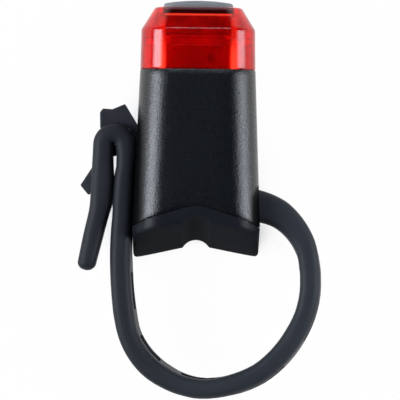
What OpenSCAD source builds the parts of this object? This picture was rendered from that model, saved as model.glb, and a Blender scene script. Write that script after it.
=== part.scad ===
// Rear light for a bicycle, strapped to a seatpost.
// The lens points along +Y, +Z is up on the bicycle, and the origin is where the two
// flanks of the saddle's vee would meet, at the middle of the light's height.

/* [Housing] */
// Width of the housing at the lens seam
seam_width = 25.4; // [23:0.1:28]
// Width of the housing at the saddle
saddle_width = 28.1; // [26:0.1:31]
// Height of the housing at the lens seam
seam_height = 23.5; // [22:0.1:26]
// Height of the housing at the saddle
saddle_height = 26; // [24:0.1:29]
// Length of the tapered flanks, from the saddle's corners to the lens seam
flank_length = 34.3; // [32:0.1:38]
// Radius of the four long corners
corner_radius = 6.5; // [5:0.1:7.5]
// Wall of the housing
wall = 1.8; // [1.4:0.1:2.2]

/* [Lens] */
// Length of the lens from the seam to its chamfer
lens_length = 9.2; // [8:0.1:12]
// Height of the chamfer along the light
chamfer_rise = 4.75; // [4:0.05:6]
// How far the chamfer comes in on each side
chamfer_inset = 3; // [2:0.1:3.2]
// How far the lens walls lean in on each side
lens_lean = 0.3; // [0:0.05:0.6]
// Wall of the lens
lens_wall = 1.8; // [1.4:0.1:2.2]
// Depth of the relief notch beside the button
notch_depth = 1.4; // [0.8:0.1:1.6]

/* [Button] */
// Rim of the lens left and right of the button
button_side_rim = 1.75; // [1.4:0.05:2.5]
// Rim of the lens above and below the button
button_end_rim = 1.85; // [1.6:0.05:2.5]
// Corner radius of the button
button_corner = 2.6; // [2:0.1:4]
// Rise of the dome above the lens
dome_rise = 1.5; // [1:0.1:2]
// Radius of the dome
dome_radius = 45; // [30:1:80]
// Diameter of the button's stem
stem_diameter = 4; // [3:0.1:5]
// Travel of the button
button_travel = 0.6; // [0.3:0.05:1]
// Gap between the button and the lens on each side
button_gap = 0.25; // [0.2:0.05:0.4]

/* [Saddle] */
// Lean of the saddle, which allows for the rake of a seatpost
rake_angle = 11; // [6:0.5:14]
// Slope of each flank of the vee
vee_angle = 12.4; // [8:0.1:16]
// Radius of the groove along the vee
groove_radius = 3.5; // [2.5:0.1:4.5]
// Depth of the groove above the point where the flanks would meet
groove_depth = 1.05; // [0.5:0.05:1.4]
// Radius of the arched seam between the housing and the saddle
arch_radius = 23; // [21:0.5:27]
// Height of the arch above the point where the flanks would meet
arch_height = 5.8; // [5.2:0.1:6.6]
// Diameter of the saddle's two studs
stud_diameter = 3.6; // [3:0.1:4.5]

/* [Strap] */
// Thickness of the strap
strap_thickness = 4.5; // [3.6:0.1:5]
// Width of the strap
strap_width = 11; // [9:0.1:13]
// Radius of the right and lower part of the loop, to the middle of the strap
loop_radius = 24.6; // [23:0.1:27]
// Radius of the lower left bend
bend_radius = 17; // [15:0.1:19]
// Turn of the lower left bend
bend_turn = 79.6; // [76:0.2:82]
// Radius of the slow curve up to the leg
sweep_radius = 82.8; // [74:0.2:92]
// Lean of the leg towards the flank, past the taper of the flank
leg_toe = 0.25; // [0:0.05:0.5]
// Gap between the leg and the corner of the saddle
leg_gap = 0.4; // [0.3:0.02:1.2]
// Straight length of the leg beside the flank
leg_length = 21.1; // [19:0.1:23]
// Gap between the leg and the tail, inside the fold over the hook
fold_gap = 0.6; // [0.5:0.05:1]
// Straight length of the tail below the fold
tail_length = 12.4; // [12:0.1:16]
// Turn of the tail away from the leg
tail_turn = 10.5; // [4:0.5:16]
// Length of the tail past its turn
tail_end_length = 9.9; // [6:0.1:12]
// Length of a slot along the strap
slot_length = 8.5; // [8.2:0.1:9.4]
// Width of a slot
slot_width = 5; // [4.4:0.1:6]
// Distance from one slot to the next
slot_pitch = 15.1; // [14.6:0.1:16]
// Length of the slot in the tail
tail_slot_length = 12.2; // [11.8:0.1:12.3]
// Diameter of the pin that anchors the strap
pin_diameter = 2; // [1.6:0.1:2.4]

/* [Hook] */
// Slope of the stem of the hook
stem_angle = 42; // [40:0.5:45]
// Length of the beak outside the tail
beak_length = 5.2; // [3.5:0.1:5.4]
// Height of the fluke above the middle of the fold
fluke_height = 9.1; // [8:0.1:10]
// Reach of the fluke past the middle of the fold
fluke_reach = 3.4; // [2.8:0.1:3.8]
// Thickness of the plate that seats in the flank
hook_plate = 1.6; // [1.2:0.1:2]

/* [Electronics] */
// Thickness of the board
board_thickness = 1.2; // [0.8:0.1:1.6]
// Side of an LED
led_side = 3; // [2.4:0.1:3.2]
// Height of an LED
led_height = 1; // [0.8:0.1:1.4]
// Thickness of the reflector plate
reflector_thickness = 1.6; // [1.5:0.1:2]
// Gap between the box that carries the button and the LEDs beside it
carrier_side_gap = 0.4; // [0.3:0.05:0.8]
// Gap between the box that carries the button and the LEDs above and below it
carrier_end_gap = 0.6; // [0.4:0.05:1]
// Thickness of the ledge plate on the box
ledge_thickness = 1.7; // [1.2:0.1:2]
// Gap between the battery tray and the heads of the hook's screws
tray_gap = 0.3; // [0.2:0.05:1]
// Thickness of the battery cell
cell_thickness = 12; // [9:0.1:12.6]
// Diameter of a battery lead
lead_diameter = 1.1; // [0.8:0.1:1.3]

/* [Charging port] */
// Width of the charging socket
socket_width = 8.94; // [8:0.02:9.2]
// Height of the charging socket
socket_height = 3.26; // [3:0.02:3.4]
// Depth of the charging socket
socket_depth = 7; // [6:0.1:8]
// Width of the flap over the socket
flap_width = 12; // [11.4:0.1:12.6]
// Thickness of the flap
flap_thickness = 1.1; // [1:0.05:1.3]

/* [Hidden] */
$fn = 64;
sliver = 0.001;
far = 60;

// Clearances
fit = 0.05;
running_fit = 0.05;
seat_gap = 0.2;
strap_gap = 0.35;
slot_gap = 0.4;
thread_gap = 0.05;

// Stations along the light
saddle_y = 1.5;
seam_y = saddle_y + flank_length;
chamfer_y = seam_y + lens_length;
plateau_y = chamfer_y + chamfer_rise;
arch_y = arch_height - arch_radius;

// Outer size of the housing at a station
function taper_at(y) = (seam_y - y) / flank_length;
function body_width(y) = seam_width + taper_at(y) * (saddle_width - seam_width);
function body_height(y) = seam_height + taper_at(y) * (saddle_height - seam_height);
function arch_at(x) = arch_y + sqrt(arch_radius * arch_radius - x * x);

// Strap anchor
notch_inner_x = saddle_width / 2 - 4.25;
notch_top_y = saddle_y + 8.7;
pin_x = notch_inner_x + 2.2;
pin_y = saddle_y + 4.8;
pin_reach = strap_width / 2 + 4;

// Cavity of the housing
cavity_y = notch_top_y + wall;
recess_y = arch_height + 2.8;
recess_width = 2 * (notch_inner_x - wall - 0.4);
recess_height = saddle_height - 12;
stud_x = 4.6;
stud_tip_y = recess_y - 1.2;

// Board stack, from the back of the board to the button
rim_depth = 1.6;
board_front_y = seam_y - 3.6;
board_back_y = board_front_y - board_thickness;
board_width = body_width(board_front_y) - 2 * wall - 1.4;
board_height = body_height(board_front_y) - 2 * wall - 1.4;
reflector_y = board_front_y + reflector_thickness;
block_depth = 4;
screw_x = board_width / 2 - 2;
screw_z = board_height / 2 - 2.7;
screw_head = 3;
screw_hole = 1.6;
screw_length = 3.2;
led_edge = 0.25;
led_x = board_width / 2 - led_side / 2 - led_edge;
led_z = board_height / 2 - led_side / 2 - led_edge;
led_pair_x = led_side;
led_pair_z = led_side * 0.87;
carrier_width = 2 * (led_x - led_side / 2 - carrier_side_gap);
carrier_height = 2 * (led_z - led_side / 2 - carrier_end_gap);
switch_side = 4.6;
switch_height = 1.6;
plunger_diameter = 2.2;
plunger_y = board_front_y + switch_height - 0.6;
plunger_tip_y = board_front_y + 2.7;
ledge_y = chamfer_y - 3.4;
ledge_top_y = ledge_y + ledge_thickness;
ledge_width = carrier_width + 2.7;
ledge_height = carrier_height + 2.6;
carrier_wall = 1.2;
guide_length = 3;
seal_height = 1.2;

// Inner sizes of the lens
lens_end_width = seam_width - 2 * lens_lean;
lens_end_height = seam_height - 2 * lens_lean;
plateau_width = lens_end_width - 2 * chamfer_inset;
plateau_height = lens_end_height - 2 * chamfer_inset;
lens_inner_y = plateau_y - lens_wall;
button_width = plateau_width - 2 * button_side_rim;
button_height = plateau_height - 2 * button_end_rim;
flange_thickness = 1;
flange_margin = 0.75;
flange_y = lens_inner_y - seat_gap;
skirt_y = ledge_top_y + button_travel + seat_gap;
skirt_width = button_width - 0.6;
skirt_height = button_height - 0.6;
skirt_corner = button_corner - 0.3;
skirt_wall = 1.4;
notch_width = button_width - 2 * button_corner + 3.6;
tongue_wall = 1;
tongue_width = seam_width - 2 * wall - 2 * seat_gap;
tongue_height = seam_height - 2 * wall - 2 * seat_gap;
tongue_corner = corner_radius - wall - seat_gap;
gasket_width = 0.8;
gasket_depth = 1;
step_width = seam_width - 2 * wall + 2 * gasket_width;
step_height = seam_height - 2 * wall + 2 * gasket_width;
step_corner = corner_radius - wall + gasket_width;

// Charging port on the underside
port_y = board_back_y - socket_height / 2;
port_floor_z = -(body_height(port_y) / 2 - flap_thickness - 0.25);
flap_z = port_floor_z - 0.1 - flap_thickness / 2;
flap_hinge_y = port_y - 4.2;
flap_end_y = port_y + 3.9;
flap_gap = 0.3;
hinge_pin = 1.1;
hinge_reach = 1.2;
plug_height = 0.8;
socket_mouth_z = port_floor_z + 1.3;
socket_shell = 0.35;
tongue_thickness = 0.7;

// Strap route: radius (0 for straight), turn (positive to the left) and length of each stretch
loop_y = saddle_y - 11.5;
leg_lean = atan((saddle_width - seam_width) / 2 / flank_length) + leg_toe;
fold_radius = (strap_thickness + fold_gap) / 2;
function bow(radius, turn) = [radius, turn, radius * abs(turn) * PI / 180];
route = [
    bow(loop_radius, -90),
    bow(bend_radius, -bend_turn),
    bow(sweep_radius, bend_turn - 90 - leg_lean),
    [0, 0, leg_length],
    bow(fold_radius, 180),
    [0, 0, tail_length],
    bow(22, -tail_turn),
    [0, 0, tail_end_length]
];
function left_of(heading) = [-sin(heading), cos(heading)];
function along(heading) = [cos(heading), sin(heading)];
function moved(place, stretch) =
    stretch[0] == 0
        ? [place[0] + stretch[2] * along(place[1]), place[1]]
        : [
            place[0] + sign(stretch[1]) * stretch[0]
                * (left_of(place[1]) - left_of(place[1] + stretch[1])),
            place[1] + stretch[1]
        ];
function loop_place(i) = i == 0 ? [[loop_radius, 0], -90] : moved(loop_place(i - 1), route[i - 1]);
loop_x = -saddle_width / 2 - leg_gap - strap_thickness / 2 - loop_place(3)[0][0];
function place_of(i) = let (place = loop_place(i)) [place[0] + [loop_x, loop_y], place[1]];
function start_of(i) = i == 0 ? 0 : start_of(i - 1) + route[i - 1][2];
route_end = start_of(len(route));

// Points beside the route, at a distance along it, and the stops between two distances
facet_turn = 3;
function stretch_at(s, i = 0) = i == len(route) - 1 || s < start_of(i + 1) ? i : stretch_at(s, i + 1);
function place_at(s) =
    let (i = stretch_at(s), part = (s - start_of(i)) / route[i][2])
    moved(place_of(i), [route[i][0], route[i][1] * part, route[i][2] * part]);
function beside_route(s, offset) = let (place = place_at(s)) place[0] + offset * left_of(place[1]);
function stops_in(i) = max(1, ceil(abs(route[i][1]) / facet_turn));
function stops_between(s0, s1) = concat(
    [s0], [for (s = all_stops) if (s > s0 + stop_space && s < s1 - stop_space) s], [s1]
);

// Fold of the strap over the hook
fold_place = place_of(4);
fold_center = fold_place[0] + fold_radius * left_of(fold_place[1]);
fold_start = start_of(4);
fold_outer = fold_radius + strap_thickness / 2;
hook_slot_end = fold_start + fold_radius * (stem_angle + leg_lean) * PI / 180;
tail_start = start_of(5);
slot_count = 7;
function slot_end(k) = hook_slot_end - k * slot_pitch;

// Stops along the route, none of them close beside the end of a slot
stop_space = 0.25;
slot_edges = [for (k = [0 : slot_count - 1]) each [slot_end(k) - slot_length, slot_end(k)]];
all_stops = [
    for (i = [0 : len(route) - 1])
        for (k = [0 : stops_in(i) - 1])
            let (s = start_of(i) + route[i][2] * k / stops_in(i))
                if (min([for (edge = slot_edges) abs(s - edge)]) > stop_space) s
];

// The strap bends about this point when it is let off the hook
split_at = (slot_end(5) - slot_length + slot_end(6)) / 2;
split_turn = split_at / loop_radius * 180 / PI;
split_point = [loop_x, loop_y] + loop_radius * along(-split_turn);

// Root of the strap, between an outer and an inner arc
knuckle_diameter = strap_thickness - 0.4;
tip_length = 1.3;
root_depth = 7.7;
root_outer_radius = notch_top_y - loop_y;
root_inner_radius = root_outer_radius - root_depth;
root_outer_x = loop_x + loop_radius + strap_thickness / 2 - root_outer_radius;
root_inner_x = loop_x + loop_radius - strap_thickness / 2 - root_inner_radius;

// Hook on the left flank
hook_thickness = slot_width - 2 * slot_gap;
hook_top_y = fold_center[1] + 6.2;
hook_bottom_y = fold_center[1] - 3.6;
hook_height = strap_width + 1;
hook_face_x = -body_width(hook_top_y) / 2 + 0.05;
hook_seat_x = hook_face_x + hook_plate;
hook_boss_x = hook_seat_x + 2;
hook_screw_y = (hook_top_y + hook_bottom_y) / 2;
hook_screw_z = hook_height / 2 - 2.4;
hook_boss_diameter = 4.2;
hook_screw_diameter = 1.9;
hook_screw_head = 6;
hook_screw_head_height = 1.2;

// Battery, between the heads of the hook's screws and their mirror image
tray_wall = 0.7;
tray_base = 1;
tray_height = 4;
tray_width = 2 * (-hook_boss_x - hook_screw_head_height - tray_gap);
cell_width = tray_width - 2 * tray_wall - 2 * fit;
cell_back_y = recess_y + 0.6;
cell_front_y = board_back_y - 4.6;
tray_z = -(body_height(cavity_y) / 2 - wall) + 3.2;
cell_z = tray_z + tray_base;
foam_inset = 1.5;
foam_top_z = body_height(cell_front_y) / 2 - wall - 0.1;

// Chips and battery plug on the back of the board, above the charging socket
chip_gap = 0.5;
chip_height = 1.8;
chip_z = socket_mouth_z + socket_depth + chip_gap;
plug_half_height = 1.4;
plug_half_width = 2.8;
plug_depth = 2.7;
plug_z = chip_z + chip_height + chip_gap + plug_half_height;
lead_spread = 1.6;

// Places of the two hinges
echo(flap_hinge = [0, flap_hinge_y, flap_z], strap_bend = split_point);

// Shared shapes

// Rounded rectangle in the plane across the light
module rounded_face(width, height, radius) {
    square([width - 2 * radius, height], center = true);
    square([width, height - 2 * radius], center = true);
    for (x = [-1, 1], y = [-1, 1]) {
        translate([x * (width / 2 - radius), y * (height / 2 - radius)]) circle(radius);
    }
}

// Straight block of rounded section from one station to another
module rounded_block(width, height, radius, y0, y1) {
    translate([0, y0, 0]) rotate([-90, 0, 0]) linear_extrude(y1 - y0) rounded_face(width, height, radius);
}

// One end of a tapered block
module taper_end(width, height, radius, y) {
    for (x = [-1, 1], z = [-1, 1]) {
        translate([x * (width / 2 - radius), y, z * (height / 2 - radius)])
            rotate([-90, 0, 0]) cylinder(r = radius, h = sliver, $fn = 48);
    }
}

// Block that tapers from one rounded section to another
module tapered_block(y0, size0, radius0, y1, size1, radius1) {
    hull() {
        taper_end(size0[0], size0[1], radius0, y0);
        taper_end(size1[0], size1[1], radius1, y1 - sliver);
    }
}

// The housing's outside, drawn in by an inset
module body_block(y0, y1, inset) {
    tapered_block(
        y0, [body_width(y0) - 2 * inset, body_height(y0) - 2 * inset], corner_radius - inset,
        y1, [body_width(y1) - 2 * inset, body_height(y1) - 2 * inset], corner_radius - inset
    );
}

// Box between two corners
module box(low, high) {
    translate(low) cube(high - low);
}

// Bar of round-ended section along Z, as a charging socket has
module stadium(width, height, z0, z1) {
    translate([0, port_y, z0]) linear_extrude(z1 - z0) {
        square([width - height, height], center = true);
        for (x = [-1, 1]) translate([x * (width - height) / 2, 0]) circle(height / 2);
    }
}

// Cylinder along Y
module post(diameter, x, z, y0, y1) {
    translate([x, y0, z]) rotate([-90, 0, 0]) cylinder(d = diameter, h = y1 - y0);
}

// Cylinder along Z
module pillar(diameter, x, y, z0, z1) {
    translate([x, y, z0]) cylinder(d = diameter, h = z1 - z0);
}

// Cylinder along X
module rod(diameter, y, z, x0, x1) {
    translate([x0, y, z]) rotate([0, 90, 0]) cylinder(d = diameter, h = x1 - x0);
}

// Cylinder inside the arched seam
module arch(growth) {
    translate([0, arch_y, -far]) cylinder(r = arch_radius + growth, h = 2 * far, $fn = 128);
}

// Corners of the board that take a screw
module at_screws() {
    for (side = [-1, 1]) translate([side * screw_x, 0, -side * screw_z]) children();
}

// Places of the LEDs around the carrier
module at_leds() {
    for (x = [-1, 1], z = [-1, 1]) {
        translate([x * led_x, 0, z * led_pair_z]) children();
        translate([x * led_pair_x, 0, z * led_z]) children();
    }
}

// Part of the strap's route, with a thickness, a width and a tip that narrows
module band(s0, s1, thickness, width, tip = 0) {
    stops = stops_between(s0, s1);
    heading = place_at(s1)[1];
    nose = place_at(s1)[0] + tip * along(heading);
    side = (thickness / 2 - tip) * left_of(heading);
    translate([0, 0, -width / 2]) linear_extrude(width) polygon(concat(
        [for (s = stops) beside_route(s, thickness / 2)],
        tip > 0 ? [nose + side, nose - side] : [],
        [for (i = [len(stops) - 1 : -1 : 0]) beside_route(stops[i], -thickness / 2)]
    ));
}

// Slot through the strap
module slot(s0, s1) {
    band(s0, s1, strap_thickness + fold_gap / 2, slot_width);
}

// Housing and lens

module housing() {
    color([0.1, 0.11, 0.13]) difference() {
        union() {
            difference() {
                body_block(0, seam_y, 0);
                body_block(cavity_y, seam_y + sliver, wall);
            }
            // Corner blocks that carry the board
            intersection() {
                body_block(0, seam_y, wall / 2);
                for (x = [-1, 1], z = [-1, 1]) {
                    translate([
                        x * (screw_x + far / 2 - 2), board_back_y - block_depth / 2,
                        z * (screw_z + far / 2 - 2)
                    ]) cube([far, block_depth, far], center = true);
                }
            }
            // Pad behind the hook
            box(
                [-body_width(hook_top_y) / 2 + wall / 2, hook_bottom_y - 1.4, -hook_height / 2 - 1.4],
                [hook_boss_x, hook_top_y + 1.4, hook_height / 2 + 1.4]
            );
            // Floor behind the flap
            box(
                [-flap_width / 2 - 1.6, flap_hinge_y - 1.8, -body_height(port_y) / 2 + wall / 2],
                [flap_width / 2 + 1.6, seam_y - rim_depth - seat_gap, port_floor_z + 1]
            );
            // Ribs under the battery tray
            for (x = [-1, 1]) {
                box(
                    [x * 4 - 0.6, cavity_y - 0.5, -body_height(cavity_y) / 2 + wall / 2],
                    [x * 4 + 0.6, flap_hinge_y - 2, tray_z]
                );
            }
        }
        arch(0);
        rounded_block(recess_width, recess_height, 0.8, recess_y, cavity_y + 0.5);
        for (x = [-1, 1]) post(stud_diameter + 2 * seat_gap, x * stud_x, 0, 0, stud_tip_y + seat_gap);
        // Step for the gasket
        rounded_block(step_width, step_height, step_corner, seam_y - gasket_depth, seam_y + 1);
        // Slot for the root of the strap and bore for its pin
        box([notch_inner_x, -1, -strap_width / 2 - slot_gap], [far, notch_top_y, strap_width / 2 + slot_gap]);
        pillar(pin_diameter + 2 * fit, pin_x, pin_y, -far, pin_reach + seat_gap);
        // Seat of the hook
        box(
            [-far, hook_bottom_y - fit, -hook_height / 2 - fit],
            [hook_seat_x, hook_top_y + fit, hook_height / 2 + fit]
        );
        for (z = [-1, 1]) {
            rod(
                hook_boss_diameter + 2 * seat_gap, hook_screw_y, z * hook_screw_z,
                hook_seat_x - 1, hook_boss_x + 1
            );
        }
        // Seat of the flap, its hinge holes and the way to the socket
        box(
            [-flap_width / 2 - flap_gap, flap_hinge_y - flap_thickness / 2 - flap_gap, -far],
            [flap_width / 2 + flap_gap, flap_end_y + flap_gap, port_floor_z]
        );
        rod(
            hinge_pin + 2 * running_fit, flap_hinge_y, flap_z,
            -flap_width / 2 - hinge_reach - flap_gap, flap_width / 2 + hinge_reach + flap_gap
        );
        stadium(socket_width + 0.8, socket_height + 0.8, port_floor_z - 0.5, port_floor_z + 3);
        at_screws() post(screw_hole + 2 * thread_gap, 0, 0, board_back_y - screw_length, board_back_y + 1);
    }
}

module lens() {
    inner_end_y = chamfer_y - 0.4;
    inner_end_size = [lens_end_width - 2 * lens_wall, lens_end_height - 2 * lens_wall];
    inner_corner = corner_radius - lens_wall;
    color([0.8, 0.02, 0.03, 0.7]) difference() {
        union() {
            tapered_block(
                seam_y, [seam_width, seam_height], corner_radius,
                chamfer_y, [lens_end_width, lens_end_height], corner_radius
            );
            tapered_block(
                chamfer_y, [lens_end_width, lens_end_height], corner_radius,
                plateau_y, [plateau_width, plateau_height], corner_radius - chamfer_inset / 2
            );
            rounded_block(tongue_width, tongue_height, tongue_corner, seam_y - rim_depth, seam_y + 0.5);
        }
        rounded_block(
            tongue_width - 2 * tongue_wall, tongue_height - 2 * tongue_wall,
            tongue_corner - tongue_wall, seam_y - rim_depth - 1, seam_y + 0.5
        );
        tapered_block(
            seam_y + 0.5, [seam_width - 2 * lens_wall, seam_height - 2 * lens_wall], inner_corner,
            inner_end_y, inner_end_size, inner_corner
        );
        tapered_block(
            inner_end_y - sliver, inner_end_size, inner_corner,
            lens_inner_y, [plateau_width - lens_wall / 2, plateau_height - lens_wall / 2],
            corner_radius - chamfer_inset / 2
        );
        rounded_block(
            button_width + 2 * button_gap, button_height + 2 * button_gap,
            button_corner + button_gap, lens_inner_y - 1, plateau_y + 1
        );
        // Relief notches above and below the button
        for (z = [-1, 1]) {
            translate([0, plateau_y, z * plateau_height / 2])
                cube([notch_width, 2 * notch_depth, 2 * notch_depth], center = true);
        }
    }
}

module lens_gasket() {
    color([0.05, 0.05, 0.06]) difference() {
        rounded_block(
            step_width - 2 * fit, step_height - 2 * fit, step_corner - fit, seam_y - gasket_depth, seam_y
        );
        rounded_block(
            tongue_width + 2 * fit, tongue_height + 2 * fit, tongue_corner + fit,
            seam_y - gasket_depth - 1, seam_y + 1
        );
    }
}

// Button and its carrier

module button_cap() {
    color([0.42, 0.44, 0.46]) union() {
        rounded_block(
            button_width + 2 * flange_margin, button_height + 2 * flange_margin,
            button_corner + flange_margin, flange_y - flange_thickness, flange_y
        );
        intersection() {
            rounded_block(
                button_width, button_height, button_corner,
                flange_y - flange_thickness / 2, plateau_y + dome_rise + 1
            );
            translate([0, plateau_y + dome_rise - dome_radius, 0]) sphere(r = dome_radius, $fn = 128);
        }
        // Skirt round the seal
        difference() {
            rounded_block(
                skirt_width, skirt_height, skirt_corner, skirt_y, flange_y - flange_thickness / 2
            );
            rounded_block(
                skirt_width - 2 * skirt_wall, skirt_height - 2 * skirt_wall, skirt_corner - skirt_wall,
                skirt_y - 1, flange_y - flange_thickness / 2
            );
        }
        post(stem_diameter, 0, 0, plunger_tip_y + 0.02, flange_y - flange_thickness / 2);
    }
}

module button_seal() {
    color([0.12, 0.12, 0.13]) difference() {
        post(stem_diameter + 3.6, 0, 0, ledge_top_y, ledge_top_y + seal_height);
        post(stem_diameter + 2 * running_fit, 0, 0, ledge_top_y - 1, ledge_top_y + seal_height + 1);
    }
}

module button_carrier() {
    color([0.85, 0.85, 0.83]) difference() {
        union() {
            rounded_block(carrier_width, carrier_height, 1.5, reflector_y, ledge_y + 0.5);
            rounded_block(ledge_width, ledge_height, 2.5, ledge_y, ledge_top_y);
        }
        difference() {
            rounded_block(
                carrier_width - 2 * carrier_wall, carrier_height - 2 * carrier_wall, 0.8,
                reflector_y - 1, ledge_y
            );
            post(stem_diameter + 3, 0, 0, ledge_y - guide_length, ledge_y + 1);
        }
        post(stem_diameter + 2 * running_fit, 0, 0, reflector_y - 1, ledge_top_y + 1);
        // Side windows
        pillar(1.8, 2.9, (reflector_y + ledge_y) / 2 + 0.8, -far, far);
    }
}

// Board and what it carries

module reflector() {
    color([0.9, 0.9, 0.88]) difference() {
        rounded_block(board_width - 0.6, board_height - 0.6, 3, board_front_y, reflector_y);
        at_leds() {
            rotate([-90, 0, 0]) translate([0, 0, board_front_y - 1])
                linear_extrude(reflector_thickness + 2) square(led_side + 2 * seat_gap, center = true);
        }
        at_screws() post(screw_head + 2 * seat_gap, 0, 0, board_front_y - 1, reflector_y + 1);
        rounded_block(
            switch_side + 2 * seat_gap, switch_side + 2 * seat_gap, 0.4, board_front_y - 1, reflector_y + 1
        );
    }
}

module led_board() {
    color([0.08, 0.3, 0.16]) difference() {
        rounded_block(board_width, board_height, 3, board_back_y, board_front_y);
        at_screws() post(screw_hole + 0.3, 0, 0, board_back_y - 1, board_front_y + 1);
    }
}

module leds() {
    color([0.95, 0.85, 0.6]) at_leds() {
        translate([-led_side / 2, board_front_y, -led_side / 2]) cube([led_side, led_height, led_side]);
    }
}

module switch_body() {
    color([0.15, 0.15, 0.16]) difference() {
        rounded_block(switch_side, switch_side, 0.4, board_front_y, board_front_y + switch_height);
        post(
            plunger_diameter + 2 * running_fit, 0, 0,
            plunger_y - button_travel - 0.1, board_front_y + switch_height + 1
        );
    }
}

module switch_plunger() {
    color([0.75, 0.72, 0.65]) post(plunger_diameter, 0, 0, plunger_y, plunger_tip_y);
}

module board_chips() {
    side_x = plug_half_width + 2 * chip_gap;
    color([0.06, 0.06, 0.07]) {
        box([-side_x - 4, board_back_y - 1, chip_z], [-side_x, board_back_y, chip_z + 4]);
        box([side_x, board_back_y - 0.9, chip_z], [side_x + 3.4, board_back_y, chip_z + 2.8]);
        box([-chip_height, board_back_y - 0.7, chip_z], [chip_height, board_back_y, chip_z + chip_height]);
    }
}

module board_screws() {
    color([0.7, 0.7, 0.72]) at_screws() {
        post(screw_hole, 0, 0, board_back_y - screw_length + seat_gap, board_front_y + 0.2);
        post(screw_head, 0, 0, board_front_y, board_front_y + 1);
    }
}

// Charging port

module usb_socket() {
    color([0.75, 0.76, 0.78]) difference() {
        stadium(socket_width, socket_height, socket_mouth_z, socket_mouth_z + socket_depth);
        stadium(
            socket_width - 2 * socket_shell, socket_height - 2 * socket_shell,
            socket_mouth_z - 1, socket_mouth_z + socket_depth - 1
        );
    }
}

module usb_tongue() {
    half_width = socket_width / 2 - 1.1;
    color([0.05, 0.05, 0.05]) box(
        [-half_width, port_y - tongue_thickness / 2, socket_mouth_z + 0.8],
        [half_width, port_y + tongue_thickness / 2, socket_mouth_z + socket_depth - 1]
    );
}

module usb_flap() {
    color([0.08, 0.08, 0.09]) union() {
        box(
            [-flap_width / 2, flap_hinge_y, flap_z - flap_thickness / 2],
            [flap_width / 2, flap_end_y, flap_z + flap_thickness / 2]
        );
        rod(flap_thickness, flap_hinge_y, flap_z, -flap_width / 2, flap_width / 2);
        rod(hinge_pin, flap_hinge_y, flap_z, -flap_width / 2 - hinge_reach, flap_width / 2 + hinge_reach);
        stadium(socket_width + 0.1, socket_height + 0.1, flap_z, flap_z + flap_thickness / 2 + plug_height);
    }
}

// Battery

module battery_cell() {
    color([0.55, 0.57, 0.6]) box(
        [-cell_width / 2, cell_back_y, cell_z],
        [cell_width / 2, cell_front_y, cell_z + cell_thickness]
    );
}

module battery_foam() {
    color([0.3, 0.3, 0.32]) box(
        [foam_inset - cell_width / 2, cavity_y + foam_inset, cell_z + cell_thickness],
        [cell_width / 2 - foam_inset, cell_front_y - foam_inset, foam_top_z]
    );
}

module battery_tray() {
    side = cell_width / 2 + fit;
    color([0.85, 0.85, 0.83]) difference() {
        box(
            [-tray_width / 2, cavity_y + seat_gap, tray_z],
            [tray_width / 2, cell_front_y, cell_z + tray_height]
        );
        box([-side, cavity_y - 1, cell_z], [side, cell_front_y + 1, cell_z + tray_height + 1]);
    }
}

module battery_lead(side) {
    post(lead_diameter, side * lead_spread, plug_z, cell_front_y, board_back_y - plug_depth);
}

module lead_positive() {
    color([0.75, 0.05, 0.05]) battery_lead(1);
}

module lead_negative() {
    color([0.03, 0.03, 0.03]) battery_lead(-1);
}

module battery_plug() {
    color([0.9, 0.88, 0.8]) box(
        [-plug_half_width, board_back_y - plug_depth, plug_z - plug_half_height],
        [plug_half_width, board_back_y, plug_z + plug_half_height]
    );
}

// Saddle

module saddle_pad() {
    low_y = -saddle_height * tan(rake_angle) / 2 - saddle_width * tan(vee_angle) / 2 - 1;
    crown_y = arch_height + 1;
    spread = saddle_width;
    color([0.13, 0.15, 0.17]) difference() {
        union() {
            intersection() {
                hull() {
                    taper_end(saddle_width - 0.4, saddle_height - 0.4, corner_radius, low_y);
                    taper_end(saddle_width, saddle_height, corner_radius, saddle_y);
                    taper_end(body_width(crown_y), body_height(crown_y), corner_radius, crown_y);
                }
                arch(-fit);
            }
            for (x = [-1, 1]) post(stud_diameter, x * stud_x, 0, arch_at(stud_x) - 1, stud_tip_y);
        }
        rotate([-rake_angle, 0, 0]) translate([0, 0, -far]) linear_extrude(2 * far) {
            polygon([
                [0, 0], [spread, -spread * tan(vee_angle)], [spread, -far], [-spread, -far],
                [-spread, -spread * tan(vee_angle)]
            ]);
            translate([0, groove_depth - groove_radius]) circle(groove_radius);
        }
    }
}

// Strap

module strap_anchor_side() {
    color([0.16, 0.17, 0.21]) difference() {
        union() {
            intersection() {
                difference() {
                    translate([root_outer_x, loop_y, -strap_width / 2])
                        cylinder(r = root_outer_radius, h = strap_width, $fn = 128);
                    translate([root_inner_x, loop_y, -strap_width])
                        cylinder(r = root_inner_radius, h = 2 * strap_width, $fn = 128);
                }
                box([notch_inner_x + slot_gap, loop_y, -strap_width], [far, far, strap_width]);
            }
            band(0, split_at, strap_thickness, strap_width);
        }
        // Room above the saddle
        intersection() {
            arch(strap_gap);
            box([0, 0, -far], [saddle_width / 2 + strap_gap, arch_height, far]);
        }
        pillar(pin_diameter + 2 * fit, pin_x, pin_y, -far, far);
        slot(slot_end(6) - slot_length, slot_end(6));
        pillar(strap_thickness + 2 * strap_gap, split_point[0], split_point[1], -far, far);
    }
}

module strap_hook_side() {
    color([0.16, 0.17, 0.21]) difference() {
        union() {
            band(split_at, route_end, strap_thickness, strap_width, tip_length);
            pillar(knuckle_diameter, split_point[0], split_point[1], -strap_width / 2, strap_width / 2);
        }
        for (k = [0 : slot_count - 2]) slot(slot_end(k) - slot_length, slot_end(k));
        slot(tail_start, tail_start + tail_slot_length);
    }
}

module strap_pin() {
    color([0.7, 0.71, 0.73]) pillar(pin_diameter, pin_x, pin_y, -pin_reach, pin_reach);
}

// Hook

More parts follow.
